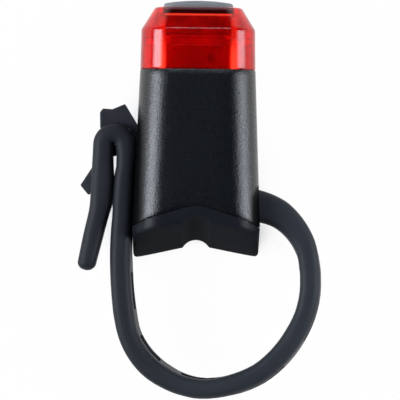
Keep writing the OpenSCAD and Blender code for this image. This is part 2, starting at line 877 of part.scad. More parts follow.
// Outline of the stem, from the flank down to the beak outside the tail
module stem_outline() {
    up = along(stem_angle);
    drop = 0.45 * left_of(stem_angle);
    face = (hook_face_x - fold_center[0]) + 0.6;
    beak_top = -(fold_outer + 0.3) / up[0] * up - drop;
    beak_tip = beak_top + beak_length * along(stem_angle + 196);
    polygon([
        [face, face * tan(stem_angle) - 0.6],
        beak_top,
        beak_tip,
        beak_tip + [1.7, -1.6],
        [-fold_radius + 0.9, -4.2],
        [face, -0.6]
    ]);
}

// Outline of the fluke over the fold
module fluke_outline() {
    face = (hook_face_x - fold_center[0]) + 0.6;
    polygon([
        [face, hook_bottom_y - fold_center[1] + 3],
        [face, hook_top_y - fold_center[1] - 2.9],
        [fluke_reach - 1.1, fluke_height],
        [-0.5, fluke_height - 1.25],
        [0.3 - fluke_reach, fluke_height - 1],
        [-fluke_reach, fluke_height - 1.5],
        [-fluke_reach, 0]
    ]);
}

module strap_hook() {
    color([0.19, 0.19, 0.22]) union() {
        translate([fold_center[0], fold_center[1], -hook_thickness / 2]) linear_extrude(hook_thickness) {
            stem_outline();
            difference() {
                fluke_outline();
                circle(fold_outer + strap_gap);
            }
        }
        box([hook_face_x, hook_bottom_y, -hook_height / 2], [hook_seat_x, hook_top_y, hook_height / 2]);
        difference() {
            for (z = [-1, 1]) {
                rod(
                    hook_boss_diameter, hook_screw_y, z * hook_screw_z,
                    hook_seat_x - 0.5, hook_boss_x - seat_gap
                );
            }
            for (z = [-1, 1]) {
                rod(
                    hook_screw_diameter + 2 * thread_gap, hook_screw_y, z * hook_screw_z,
                    hook_seat_x, hook_boss_x + 1
                );
            }
        }
    }
}

module hook_screws() {
    color([0.7, 0.7, 0.72]) for (z = [-1, 1]) {
        rod(hook_screw_diameter, hook_screw_y, z * hook_screw_z, hook_seat_x + fit, hook_boss_x + 0.2);
        rod(
            hook_screw_head, hook_screw_y, z * hook_screw_z,
            hook_boss_x, hook_boss_x + hook_screw_head_height
        );
    }
}

housing();
lens();
lens_gasket();
button_cap();
button_seal();
button_carrier();
reflector();
led_board();
leds();
switch_body();
switch_plunger();
board_chips();
board_screws();
usb_socket();
usb_tongue();
usb_flap();
battery_cell();
battery_foam();
battery_tray();
lead_positive();
lead_negative();
battery_plug();
saddle_pad();
strap_anchor_side();
strap_hook_side();
strap_pin();
strap_hook();
hook_screws();
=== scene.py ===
"""Dressed model of a bicycle rear light and its ladder strap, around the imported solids.

Lengths in this file are in millimetres unless a name says otherwise, and become metres
when a mesh is made. +Y points out through the lens, +Z is up on the bicycle.
"""

from __future__ import annotations

import logging
import math
from dataclasses import dataclass
from enum import Enum
from typing import Any, Callable, Optional, Sequence, Union

import bmesh
import bpy
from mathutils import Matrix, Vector

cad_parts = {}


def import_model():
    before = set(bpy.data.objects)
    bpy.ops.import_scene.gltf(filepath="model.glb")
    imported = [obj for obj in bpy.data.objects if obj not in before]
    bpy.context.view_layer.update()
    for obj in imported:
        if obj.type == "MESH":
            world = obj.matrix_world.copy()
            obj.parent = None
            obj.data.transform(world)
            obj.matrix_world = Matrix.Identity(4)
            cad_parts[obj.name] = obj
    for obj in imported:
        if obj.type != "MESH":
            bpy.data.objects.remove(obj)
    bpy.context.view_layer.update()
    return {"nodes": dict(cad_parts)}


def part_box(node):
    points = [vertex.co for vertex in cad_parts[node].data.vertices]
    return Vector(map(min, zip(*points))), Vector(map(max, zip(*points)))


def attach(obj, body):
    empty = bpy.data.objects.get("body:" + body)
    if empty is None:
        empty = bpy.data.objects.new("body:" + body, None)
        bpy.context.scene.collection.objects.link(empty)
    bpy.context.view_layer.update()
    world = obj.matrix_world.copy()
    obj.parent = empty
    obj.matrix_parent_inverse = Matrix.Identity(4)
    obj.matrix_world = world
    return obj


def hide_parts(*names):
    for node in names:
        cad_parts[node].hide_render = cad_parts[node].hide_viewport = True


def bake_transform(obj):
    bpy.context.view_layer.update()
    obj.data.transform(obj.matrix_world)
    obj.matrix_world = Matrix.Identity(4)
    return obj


LOG = logging.getLogger("rear_light")
MM = 0.001

Point2 = tuple[float, float]
Point3 = tuple[float, float, float]
Four = tuple[float, float, float, float]
Colour = tuple[float, float, float, float]
Value = Union[int, float, Sequence[float], "Channel"]
Sockets = dict[Union[int, str], Value]

BLACK: Colour = (0.0, 0.0, 0.0, 1.0)
WHITE: Colour = (1.0, 1.0, 1.0, 1.0)


class Body(str, Enum):
    """The rigid bodies that dressed pieces move with."""

    LIGHT = "light"
    BUTTON = "button"
    FLAP = "flap"
    STRAP = "strap"


class Slot(str, Enum):
    """Material slot names of the record, which no piece in this script uses."""

    HOUSING = "grained_black_plastic"
    LENS = "clear_red_plastic"
    SEAL = "black_rubber"
    BUTTON = "grey_rubber"
    PAD = "pad_rubber"
    STRAP = "strap_rubber"
    HOOK = "smooth_black_plastic"
    FOAM = "grey_foam"


def srgb(red: float, green: float, blue: float) -> Colour:
    """Linear colour of an 8-bit screen colour.

    Args:
        red: Red from 0 to 255.
        green: Green from 0 to 255.
        blue: Blue from 0 to 255.

    Returns:
        The linear colour with an alpha of 1.
    """

    def linear(part: float) -> float:
        """One channel, made linear."""
        share = part / 255.0
        return share / 12.92 if share <= 0.04045 else ((share + 0.055) / 1.055) ** 2.4

    return (linear(red), linear(green), linear(blue), 1.0)


# Shader graphs


class Channel:
    """A shader socket that takes part in Python expressions."""

    def __init__(self, graph: "Graph", socket: bpy.types.NodeSocket) -> None:
        """Wraps an output socket of a graph."""
        self.graph = graph
        self.socket = socket

    def _math(self, operation: str, first: Value, second: Value) -> "Channel":
        """A Math node on two values."""
        node = self.graph.add("ShaderNodeMath", {"operation": operation}, {0: first, 1: second})
        return self.graph.out(node)

    def __add__(self, other: Value) -> "Channel":
        """Sum."""
        return self._math("ADD", self, other)

    __radd__ = __add__

    def __sub__(self, other: Value) -> "Channel":
        """Difference."""
        return self._math("SUBTRACT", self, other)

    def __rsub__(self, other: Value) -> "Channel":
        """Difference, with this channel taken away."""
        return self._math("SUBTRACT", other, self)

    def __mul__(self, other: Value) -> "Channel":
        """Product."""
        return self._math("MULTIPLY", self, other)

    __rmul__ = __mul__

    def __abs__(self) -> "Channel":
        """Size without its sign."""
        return self._math("ABSOLUTE", self, 0.0)

    def above(self, other: Value) -> "Channel":
        """1 where this channel is greater, else 0."""
        return self._math("GREATER_THAN", self, other)

    def most(self, other: Value) -> "Channel":
        """The greater of two values."""
        return self._math("MAXIMUM", self, other)

    def ramp(self, low: float, high: float) -> "Channel":
        """0 below low, 1 above high, smooth between.

        Args:
            low: Where the ramp starts.
            high: Where it ends; a ramp that ends below its start falls.

        Returns:
            The ramp.
        """
        node = self.graph.add(
            "ShaderNodeMapRange",
            {"interpolation_type": "SMOOTHSTEP"},
            {"Value": self, "From Min": low, "From Max": high},
        )
        return self.graph.out(node)

    def rise(self, edges: Point2) -> "Channel":
        """A ramp between two places in millimetres."""
        return self.ramp(edges[0] * MM, edges[1] * MM)

    def band(self, edges: Four) -> "Channel":
        """A rise from the first to the second place, and a fall from the third to the fourth."""
        return self.rise(edges[:2]) * (1.0 - self.rise(edges[2:]))


class Graph:
    """The node graph of one material or of the world."""

    def __init__(self, owner: Union[bpy.types.Material, bpy.types.World]) -> None:
        """Empties the owner's node tree."""
        owner.use_nodes = True
        self.tree = owner.node_tree
        self.tree.nodes.clear()

    def add(
        self,
        kind: str,
        settings: Optional[dict[str, Any]] = None,
        values: Optional[Sockets] = None,
    ) -> bpy.types.Node:
        """Adds a node.

        Args:
            kind: The node's type.
            settings: Its properties, such as a Math node's operation, which are set first.
            values: Numbers, colours or links for its input sockets.

        Returns:
            The new node.
        """
        node = self.tree.nodes.new(kind)
        for name, setting in (settings or {}).items():
            setattr(node, name, setting)
        for name, value in (values or {}).items():
            if isinstance(value, Channel):
                self.tree.links.new(value.socket, node.inputs[name])
            else:
                node.inputs[name].default_value = value
        return node

    def out(self, node: bpy.types.Node, name: Union[int, str] = 0) -> Channel:
        """One output of a node, as a channel."""
        return Channel(self, node.outputs[name])

    def coordinates(self, kind: str) -> Channel:
        """Texture coordinates of one kind."""
        return self.out(self.add("ShaderNodeTexCoord"), kind)

    def part(self, vector: Channel, axis: str) -> Channel:
        """One coordinate of a vector."""
        return self.out(self.add("ShaderNodeSeparateXYZ", None, {0: vector}), axis)

    def place(self) -> Channel:
        """Position on the object, in metres."""
        return self.coordinates("Object")

    def along(self, axis: str) -> Channel:
        """One coordinate of the position, in metres."""
        return self.part(self.place(), axis)

    def seen(self) -> Channel:
        """1 for what the camera sees, also in gloss and through glass, else 0."""
        path = self.add("ShaderNodeLightPath")
        straight = self.out(path, "Is Camera Ray").most(self.out(path, "Is Glossy Ray"))
        return straight.most(self.out(path, "Is Transmission Ray"))

    def noise(self, size: float, detail: float = 2.0, rough: float = 0.5) -> Channel:
        """Cloud noise.

        Args:
            size: Size of its features in millimetres.
            detail: Octaves.
            rough: Weight of the finer octaves.

        Returns:
            The noise, from 0 to 1.
        """
        values = {"Vector": self.place(), "Scale": 1.0 / (size * MM), "Detail": detail, "Roughness": rough}
        node = self.add("ShaderNodeTexNoise", None, values)
        return self.out(node, "Fac" if "Fac" in node.outputs else 0)

    def cells(self, size: float) -> Channel:
        """Distance to the nearest of scattered points, with cells of that size in millimetres."""
        values = {"Vector": self.place(), "Scale": 1.0 / (size * MM)}
        return self.out(self.add("ShaderNodeTexVoronoi", None, values), "Distance")

    def blend(self, share: Value, first: Value, second: Value) -> Channel:
        """Colour between two colours, by a share from 0 to 1."""
        node = self.add("ShaderNodeMix", {"data_type": "RGBA"}, {0: share, 6: first, 7: second})
        return self.out(node, 2)

    def bump(self, height: Channel, depth: float, strength: float = 1.0) -> Channel:
        """Normal of a relief.

        Args:
            height: Relief from 0 to 1.
            depth: Its depth in millimetres.
            strength: How much of it shows.

        Returns:
            The bent normal.
        """
        values = {"Height": height, "Distance": depth * MM, "Strength": strength}
        return self.out(self.add("ShaderNodeBump", None, values), "Normal")

    def principled(self, values: Sockets) -> Channel:
        """A Principled shader with these socket values."""
        return self.out(self.add("ShaderNodeBsdfPrincipled", None, values), "BSDF")

    def matt(self, colour: Colour) -> Channel:
        """A plain matt shader."""
        return self.out(self.add("ShaderNodeBsdfDiffuse", None, {"Color": colour}))

    def mixed(self, share: Value, first: Channel, second: Channel) -> Channel:
        """A shader between two shaders, by a share from 0 to 1."""
        return self.out(self.add("ShaderNodeMixShader", None, {0: share, 1: first, 2: second}))

    def surface(self, shader: Channel, kind: str = "ShaderNodeOutputMaterial") -> None:
        """Sends a shader to the output."""
        self.add(kind, None, {"Surface": shader})


# Finishes


@dataclass(frozen=True)
class Finish:
    """A moulded finish: colour, gloss and a fine relief, each with a little variation."""

    name: str
    colour: Colour
    tone: Colour
    roughness: float
    roughness_swing: float = 0.06
    grain: float = 0.4
    grain_depth: float = 0.01
    grain_gloss: float = 0.04
    patch: float = 6.0
    coat: float = 0.0
    specular: float = 0.5

    def gloss(self, cloud: Channel, grain: Channel) -> Channel:
        """Roughness that changes with the patches and the grain."""
        return self.roughness + self.roughness_swing * (cloud - 0.5) + self.grain_gloss * (grain - 0.5)

    def shades(self, graph: Graph) -> Sockets:
        """Socket values of the shader.

        Args:
            graph: The material's graph.

        Returns:
            Values and links by socket name.
        """
        cloud = graph.noise(self.patch, detail=3.0)
        grain = graph.noise(self.grain, rough=0.6)
        return {
            "Base Color": graph.blend(cloud, self.colour, self.tone),
            "Roughness": self.gloss(cloud, grain),
            "Specular IOR Level": self.specular,
            "Coat Weight": self.coat,
            "Normal": graph.bump(grain, self.grain_depth),
        }

    def shader(self, graph: Graph) -> Channel:
        """The finish's shader."""
        return graph.principled(self.shades(graph))

    def material(self) -> bpy.types.Material:
        """The material, made once.

        Returns:
            The material of the finish's name.
        """
        made = bpy.data.materials.get(self.name)
        if made is None:
            made = bpy.data.materials.new(self.name)
            graph = Graph(made)
            graph.surface(self.shader(graph))
        return made


@dataclass(frozen=True)
class SparkGrain(Finish):
    """Spark-eroded mould grain: small round pits that catch the light as specks.

    Painted shade mixes a dark matt shader into the grain where the strap lies beside the flanks.
    Each shaded zone has a ramp across the light and one along it; the right one leans from a station on.
    """

    fine_size: float = 0.55
    pit_share: float = 0.6
    cloud_share: float = 0.3
    contrast: Point2 = (0.25, 0.75)
    painted_shade_left: Point2 = (-10.8, -12.9)
    painted_shade_left_y: Point2 = (26.5, 24.0)
    painted_shade_right: Point2 = (11.5, 12.7)
    painted_shade_right_y: Point2 = (10.6, 10.0)
    painted_shade_lean: float = 0.4
    painted_shade_lean_y: float = 7.6
    painted_shade_share: float = 0.9
    painted_shade_colour: Colour = (0.0022, 0.0026, 0.0032, 1.0)

    def shader(self, graph: Graph) -> Channel:
        """The grain's shader, with the painted shade beside the strap mixed in.

        Args:
            graph: The material's graph.

        Returns:
            The shader.
        """
        x, y = graph.along("X"), graph.along("Y")
        leaning = x - self.painted_shade_lean * (y - self.painted_shade_lean_y * MM).most(0.0)
        # Painted shade: the flanks turn dark matt beside the strap's leg and root, where its shadow falls.
        left = x.rise(self.painted_shade_left) * y.rise(self.painted_shade_left_y)
        right = leaning.rise(self.painted_shade_right) * y.rise(self.painted_shade_right_y)
        share = self.painted_shade_share * left.most(right)
        return graph.mixed(share, super().shader(graph), graph.matt(self.painted_shade_colour))

    def shades(self, graph: Graph) -> Sockets:
        """Socket values with a pitted relief.

        Args:
            graph: The material's graph.

        Returns:
            Values and links by socket name.
        """
        pits = graph.cells(self.grain)
        fine = graph.noise(self.grain * self.fine_size, rough=0.6)
        relief = self.pit_share * pits + (1.0 - self.pit_share) * fine
        cloud = graph.noise(self.patch, detail=3.0)
        shade = relief * (1.0 - self.cloud_share) + cloud * self.cloud_share
        return {
            "Base Color": graph.blend(shade.ramp(*self.contrast), self.colour, self.tone),
            "Roughness": self.roughness + self.roughness_swing * (fine - 0.5),
            "Specular IOR Level": self.specular,
            "Normal": graph.bump(relief, self.grain_depth),
        }


@dataclass(frozen=True)
class MouldedRubber(Finish):
    """Moulded rubber: soft sheen, a slight bloom in patches and dust specks."""

    grain_gloss: float = 0.05
    bloom: Colour = (0.1, 0.1, 0.12, 1.0)
    speck: float = 0.35
    speck_edge: Point2 = (0.74, 0.8)
    speck_share: float = 0.35

    def clouded(self, graph: Graph) -> Channel:
        """The rubber's patches."""
        return graph.noise(self.patch, detail=4.0, rough=0.6)

    def shades(self, graph: Graph) -> Sockets:
        """Socket values with bloom and specks.

        Args:
            graph: The material's graph.

        Returns:
            Values and links by socket name.
        """
        cloud = self.clouded(graph)
        grain = graph.noise(self.grain, detail=3.0, rough=0.6)
        speck = graph.noise(self.speck, detail=1.0).ramp(*self.speck_edge)
        base = graph.blend(cloud, self.colour, self.tone)
        return {
            "Base Color": graph.blend(self.speck_share * speck, base, self.bloom),
            "Roughness": self.gloss(cloud, grain),
            "Specular IOR Level": self.specular,
            "Normal": graph.bump(grain, self.grain_depth),
        }


@dataclass(frozen=True)
class EndShadedRubber(MouldedRubber):
    """Moulded rubber with painted shade: darker towards -X, over the legs and the fold round the hook."""

    end_shade: Colour = BLACK
    end_shade_tone: Colour = BLACK
    end_shade_x: Point2 = (-16.0, 2.0)

    def shades(self, graph: Graph) -> Sockets:
        """Socket values that change across the light.

        Args:
            graph: The material's graph.

        Returns:
            Values and links by socket name.
        """
        values = super().shades(graph)
        # Painted shade over the legs and the fold at -X, blended in along X.
        dark = graph.blend(self.clouded(graph), self.end_shade, self.end_shade_tone)
        values["Base Color"] = graph.blend(graph.along("X").rise(self.end_shade_x), dark, values["Base Color"])
        return values


@dataclass(frozen=True)
class BandedRubber(MouldedRubber):
    """Moulded rubber with a sheen on its outer band, and none on the face that grips."""

    sheen: float = 0.25
    sheen_roughness: float = 0.35
    facing: Point2 = (0.35, 0.65)

    def shades(self, graph: Graph) -> Sockets:
        """Socket values with the band's coat.

        Args:
            graph: The material's graph.

        Returns:
            Values and links by socket name.
        """
        values = super().shades(graph)
        up = graph.part(graph.coordinates("Normal"), "Z")
        values["Coat Weight"] = self.sheen * abs(up).ramp(*self.facing)
        values["Coat Roughness"] = self.sheen_roughness
        return values


@dataclass(frozen=True)
class TintedClear(Finish):
    """Clear tinted plastic with flow marks and bright edges, and a dark print beside the button.

    Its edges glow with painted light, as emission that stands in for light carried through the walls:
    a little on the flanks and on the face away from the seam, and more along its lip and in two bands
    behind the rounded corners, strongest towards the seam. The crest beyond the painted shade is grey.
    Places across the light count from its middle, to both sides.
    """

    clearness: float = 0.8
    index: float = 1.49
    flow: Point2 = (0.36, 0.64)
    face_glow: Colour = (0.02, 0.0003, 0.0003, 1.0)
    edge_glow: Colour = (0.04, 0.001, 0.001, 1.0)
    band_glow: Colour = (0.7, 0.06, 0.027, 1.0)
    glow_band: Four = (6.8, 7.6, 8.1, 9.0)
    band_fade: Point2 = (37.5, 44.0)
    band_loss: float = 0.85
    flank: Point2 = (7.6, 9.2)
    lip: Four = (47.35, 47.6, 47.8, 48.0)
    lip_half: Point2 = (7.0, 7.6)
    lip_z: float = 7.5
    lip_share: float = 0.7
    deep: Colour = (0.66, 0.0005, 0.0008, 1.0)
    deep_y: Point2 = (40.2, 41.6)
    deep_share: float = 0.8
    notch_shade_colour: Colour = (0.004, 0.003, 0.003, 1.0)
    notch_shade_half: float = 7.8
    notch_shade_y: Point2 = (47.95, 48.85)
    notch_shade_z: float = 7.2
    crest_colour: Colour = (0.3, 0.2, 0.23, 1.0)
    crest_half: float = 8.0

    def shades(self, graph: Graph) -> Sockets:
        """Socket values of a clear moulding.

        Args:
            graph: The material's graph.

        Returns:
            Values and links by socket name.
        """
        flow = graph.noise(self.patch)
        across, along, up = abs(graph.along("X")), graph.along("Y"), abs(graph.along("Z"))
        outside = up.above(self.notch_shade_z * MM)
        low, high = (along.above(edge * MM) for edge in self.notch_shade_y)
        # Painted shade: a dark band beside the button's opening, standing in for the shade in the gap under
        # the button's edge.
        notch_shaded = (1.0 - across.above(self.notch_shade_half * MM)) * outside * low * (1.0 - high)
        crest = (1.0 - across.rise((self.notch_shade_half, self.crest_half))) * outside * high
        # Painted glow: bright bands behind the rounded corners and along the lip, as emission.
        glow_band = across.band(self.glow_band) * (1.0 - self.band_loss * along.rise(self.band_fade))
        lip = along.band(self.lip) * (1.0 - across.rise(self.lip_half)) * up.above(self.lip_z * MM)
        flank, height = across.rise(self.flank), along.rise(self.deep_y)
        depth = self.deep_share * (1.0 - height) * (1.0 - flank)
        red = graph.blend(depth, graph.blend(flow.ramp(*self.flow), self.colour, self.tone), self.deep)
        # Painted glow on the flanks and on the face, standing in for light carried through the walls.
        glow = graph.blend(flank, graph.blend(height, BLACK, self.face_glow), self.edge_glow)
        glow = graph.blend(glow_band.most(self.lip_share * lip), glow, self.band_glow)
        return {
            "Base Color": graph.blend(notch_shaded, graph.blend(crest, red, self.crest_colour), self.notch_shade_colour),
            "Roughness": self.roughness + self.roughness_swing * flow,
            "IOR": self.index,
            "Transmission Weight": self.clearness,
            # Emission of the painted glow; none on the crest.
            "Emission Color": graph.blend(crest, glow, BLACK),
            "Emission Strength": 1.0,
            "Normal": graph.bump(flow, self.grain_depth),
        }


@dataclass(frozen=True)
class PlatedSteel(Finish):
    """Plated steel with a fine grain."""

    def shades(self, graph: Graph) -> Sockets:
        """Socket values of a metal."""
        return {**super().shades(graph), "Metallic": 1.0}


@dataclass(frozen=True)
class MaskedBoard(Finish):
    """Circuit board under solder mask, with tracks that show as a lighter green."""

    track: Colour = (0.05, 0.25, 0.1, 1.0)
    tracks_per_mm: float = 0.9
    track_start: float = 0.72
    wander: float = 2.5
    wander_share: float = 2.0

    def shades(self, graph: Graph) -> Sockets:
        """Socket values with tracks across the board.

        Args:
            graph: The material's graph.

        Returns:
            Values and links by socket name.
        """
        values = super().shades(graph)
        wander = graph.noise(self.wander, detail=1.0)
        lines = graph.along("X") * (self.tracks_per_mm / MM) + wander * self.wander_share
        stripe = graph.out(graph.add("ShaderNodeMath", {"operation": "FRACT"}, {0: lines}))
        values["Base Color"] = graph.blend(stripe.above(self.track_start), self.colour, self.track)
        return values


class Finishes:
    """The finishes of the light, by what they are on."""

    housing = SparkGrain(
        "grained_black_moulding", srgb(4, 7, 10), srgb(12, 16, 21), 0.26, 0.14,
        grain=0.32, grain_depth=0.075, patch=9.0, specular=0.7,
    )
    lens = TintedClear(
        "clear_red_moulding", (1.0, 0.0014, 0.001, 1.0), (0.62, 0.0005, 0.0007, 1.0), 0.08, 0.06,
        grain_depth=0.004, patch=3.6,
    )
    button = MouldedRubber(
        "grey_button_rubber", srgb(124, 128, 132), srgb(140, 143, 147), 0.5, 0.1,
        grain=0.3, grain_depth=0.012, bloom=srgb(150, 152, 156),
    )
    strap = EndShadedRubber(
        "ladder_strap_rubber", srgb(40, 43, 49), srgb(49, 52, 59), 0.56, 0.12,
        grain=0.5, grain_depth=0.012, patch=7.0, bloom=srgb(84, 88, 100), specular=0.26,
        end_shade=srgb(30, 33, 39), end_shade_tone=srgb(38, 41, 48),
    )
    pad = BandedRubber(
        "saddle_rubber", srgb(20, 23, 28), srgb(28, 31, 37), 0.8, 0.1,
        grain=0.6, grain_depth=0.014, patch=5.0, bloom=srgb(60, 64, 72), specular=0.03,
    )
    seal = MouldedRubber(
        "seal_rubber", srgb(26, 26, 28), srgb(36, 36, 39), 0.6, 0.08, grain=0.4, bloom=srgb(60, 60, 64)
    )
    hook = Finish(
        "smooth_hook_moulding", srgb(47, 47, 54), srgb(57, 57, 65), 0.3, 0.1,
        grain=0.25, grain_depth=0.004, patch=3.0, coat=0.1,
    )
    inner = Finish("inner_black_moulding", srgb(20, 20, 22), srgb(30, 30, 33), 0.45, grain=0.3)
    white = Finish("white_moulding", srgb(232, 231, 226), srgb(222, 221, 216), 0.35, grain=0.5)
    board = MaskedBoard("masked_board", srgb(18, 74, 42), srgb(26, 92, 52), 0.35, grain=0.2)
    led = Finish("led_resin", srgb(236, 214, 150), srgb(226, 190, 110), 0.25, grain=0.6, patch=1.5)
    steel = PlatedSteel("plated_steel", srgb(190, 191, 194), srgb(172, 173, 177), 0.3, 0.12, grain=0.15)
    wrap = Finish("cell_wrap", srgb(96, 104, 116), srgb(108, 116, 128), 0.35, grain=1.2, grain_depth=0.02)
    foam = MouldedRubber(
        "open_foam", srgb(58, 58, 62), srgb(74, 74, 78), 0.9, 0.05,
        grain=0.5, grain_depth=0.12, patch=2.0, bloom=srgb(92, 92, 96),
    )
    red_sleeve = Finish("red_wire_sleeve", srgb(170, 22, 20), srgb(150, 16, 16), 0.35, grain=0.3)
    black_sleeve = Finish("black_wire_sleeve", srgb(24, 24, 25), srgb(34, 34, 36), 0.35, grain=0.3)


# Meshes


CORNER_STEPS = 12
SIDE_STEPS = 5
END_STEPS = 12
WELD_METRES = 1e-7
MATCH_DIGITS = 4
SLACK = 1e-9
ROUND_ABOVE = 50.0


def rounded_outline(
    width: float, height: float, radius: float, per_corner: int = CORNER_STEPS, per_side: int = SIDE_STEPS
) -> list[Point2]:
    """Outline of a rounded rectangle across the light.

    Args:
        width: Size along X.
        height: Size along Z.
        radius: Corner radius.
        per_corner: Steps round each corner.
        per_side: Steps along each side.

    Returns:
        Points (x, z), anticlockwise.
    """
    corners: list[list[Point2]] = []
    for quarter, (side, up) in enumerate(((1, 1), (-1, 1), (-1, -1), (1, -1))):
        x, z = side * (width / 2 - radius), up * (height / 2 - radius)
        turns = [math.radians(90 * (quarter + step / per_corner)) for step in range(per_corner + 1)]
        corners.append([(x + radius * math.cos(a), z + radius * math.sin(a)) for a in turns])
    outline: list[Point2] = []
    for quarter, corner in enumerate(corners):
        outline += corner
        first, last = corner[-1], corners[(quarter + 1) % 4][0]
        for step in range(1, per_side):
            share = step / per_side
            outline.append(tuple(a + (b - a) * share for a, b in zip(first, last)))
    return outline


def round_outline(like: Sequence[Point2], diameter: float) -> list[Point2]:
    """A circle with one point towards each point of another outline."""
    return [
        (diameter / 2 * x / math.hypot(x, z), diameter / 2 * z / math.hypot(x, z)) for x, z in like
    ]


def circle(centre: Point2, diameter: float, steps: int) -> list[Point2]:
    """Points round a circle.

    Args:
        centre: Its middle.
        diameter: Its diameter.
        steps: Number of points.

    Returns:
        The points, anticlockwise.
    """
    x, y, radius = *centre, diameter / 2
    turns = [math.tau * step / steps for step in range(steps)]
    return [(x + radius * math.cos(a), y + radius * math.sin(a)) for a in turns]


def stadium(width: float, height: float, y: float) -> list[Point2]:
    """Outline of a slot with round ends that lies across the light.

    Args:
        width: Size along X.
        height: Size along Y.
        y: Station of its middle.

    Returns:
        Points (x, y), anticlockwise.
    """
    straight, radius = (width - height) / 2, height / 2
    return [
        (side * straight + radius * math.cos(a), y + radius * math.sin(a))
        for side, turn in ((1, -90), (-1, 90))
        for a in (math.radians(turn + 180 * step / END_STEPS) for step in range(END_STEPS + 1))
    ]


class Shell:
    """A mesh in the making, in millimetres."""

    def __init__(self) -> None:
        """Starts with no points."""
        self.points: list[Point3] = []
        self.faces: list[tuple[int, ...]] = []

    def row(self, points: Sequence[Point3]) -> list[int]:
        """Adds points and returns their numbers."""
        start = len(self.points)
        self.points += [tuple(point) for point in points]
        return list(range(start, len(self.points)))

    def ring(self, outline: Sequence[Point2], y: float) -> list[int]:
        """Adds an outline across the light at a station."""
        return self.row([(x, y, z) for x, z in outline])

    def bridge(self, first: Sequence[int], second: Sequence[int], closed: bool = True) -> None:
        """Adds faces between two rows of equal length.

        Args:
            first: Numbers of the points of one row.
            second: Those of the other.
            closed: Whether the rows are rings.
        """
        count = len(first)
        for i in range(count if closed else count - 1):
            j = (i + 1) % count
            self.faces.append((first[i], first[j], second[j], second[i]))

    def tube(self, rings: Sequence[Sequence[int]], round_trip: bool = False) -> None:
        """Adds faces along a chain of rings.

        Args:
            rings: Rings of equal length.
            round_trip: Whether the chain goes back to its first ring.
        """
        for first, second in zip(rings, rings[1:]):
            self.bridge(first, second)
        if round_trip:
            self.bridge(rings[-1], rings[0])

    def cap(self, ring: Sequence[int]) -> None:
        """Adds one face across a ring."""
        self.faces.append(tuple(ring))

    def solid(self, rings: Sequence[Sequence[int]]) -> None:
        """Adds faces along a chain of rings and across both of its ends."""
        self.tube(rings)
        self.cap(rings[0])
        self.cap(rings[-1])

    def prism(self, outline: Sequence[Point2], z0: float, z1: float) -> "Shell":
        """Adds an outline in X and Y, raised from one height to another."""
        self.solid([self.row([(x, y, z) for x, y in outline]) for z in (z0, z1)])
        return self

    def box(self, low: Point3, high: Point3) -> "Shell":
        """Adds a box between two corners."""
        (x0, y0, z0), (x1, y1, z1) = low, high
        return self.prism([(x0, y0), (x1, y0), (x1, y1), (x0, y1)], z0, z1)

    def drop_unused(self) -> None:
        """Leaves out the points that no face uses."""
        used = sorted({i for face in self.faces for i in face})
        order = {old: new for new, old in enumerate(used)}
        self.points = [self.points[i] for i in used]
        self.faces = [tuple(order[i] for i in face) for face in self.faces]

    def made(
        self,
        name: str,
        sharp: float = 35.0,
        soften: float = 0.0,
        choose: Optional[Callable[[bmesh.types.BMEdge], bool]] = None,
    ) -> bpy.types.Object:
        """Turns the shell into an object.

        Args:
            name: Name of the piece.
            sharp: Angle in degrees above which an edge stays sharp.
            soften: Radius of the rounding along chosen edges.
            choose: Says which edges are rounded; those above ROUND_ABOVE degrees if left out.

        Returns:
            The object, in metres.
        """
        mesh = bpy.data.meshes.new(name)
        mesh.from_pydata([[c * MM for c in point] for point in self.points], [], self.faces)
        form = bmesh.new()
        form.from_mesh(mesh)
        bmesh.ops.remove_doubles(form, verts=form.verts, dist=WELD_METRES)
        bmesh.ops.recalc_face_normals(form, faces=form.faces)
        if soften:
            wanted = choose or (lambda edge: edge.calc_face_angle(0.0) > math.radians(ROUND_ABOVE))
            bmesh.ops.bevel(
                form, geom=[edge for edge in form.edges if wanted(edge)], offset=soften * MM,
                segments=3, profile=0.5, affect="EDGES", clamp_overlap=True,
            )
        form.to_mesh(mesh)
        form.free()
        thing = bpy.data.objects.new(name, mesh)
        bpy.context.scene.collection.objects.link(thing)
        smooth(thing, sharp)
        return thing


def smooth(thing: bpy.types.Object, sharp: float) -> None:
    """Smooth shading with sharp edges above an angle in degrees."""
    thing.data.shade_smooth()
    thing.data.set_sharp_from_angle(angle=math.radians(sharp))


def carve(thing: bpy.types.Object, tools: Sequence[bpy.types.Object], sharp: float = 30.0) -> None:
    """Cuts tools out of a piece, and removes the tools.

    Args:
        thing: The piece.
        tools: Closed shapes to cut away.
        sharp: Angle in degrees above which an edge stays sharp.
    """
    for tool in tools:
        cut = thing.modifiers.new(tool.name, "BOOLEAN")
        cut.operation = "DIFFERENCE"
        cut.solver = "EXACT"
        cut.object = tool
    bpy.context.view_layer.update()
    whole = thing.evaluated_get(bpy.context.evaluated_depsgraph_get())
    mesh = bpy.data.meshes.new_from_object(whole)
    thing.modifiers.clear()
    old = thing.data
    thing.data = mesh
    bpy.data.meshes.remove(old)
    for tool in tools:
        bpy.data.objects.remove(tool)
    smooth(thing, sharp)


def settle(
    thing: bpy.types.Object, finish: Finish, nodes: Sequence[str], body: Optional[Body]
) -> bpy.types.Object:
    """Gives a piece its finish and the body it moves with, and hides the solids that it replaces.
        body: The body it rides on, or None to leave it unattached.

    Returns:
        The piece.
    """
    thing.data.materials.clear()
    thing.data.materials.append(finish.material())
    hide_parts(*nodes)
    if body is not None:
        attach(thing, body.value)
    LOG.info("%s: %d faces", thing.name, len(thing.data.polygons))
    return thing


# Sub-assemblies


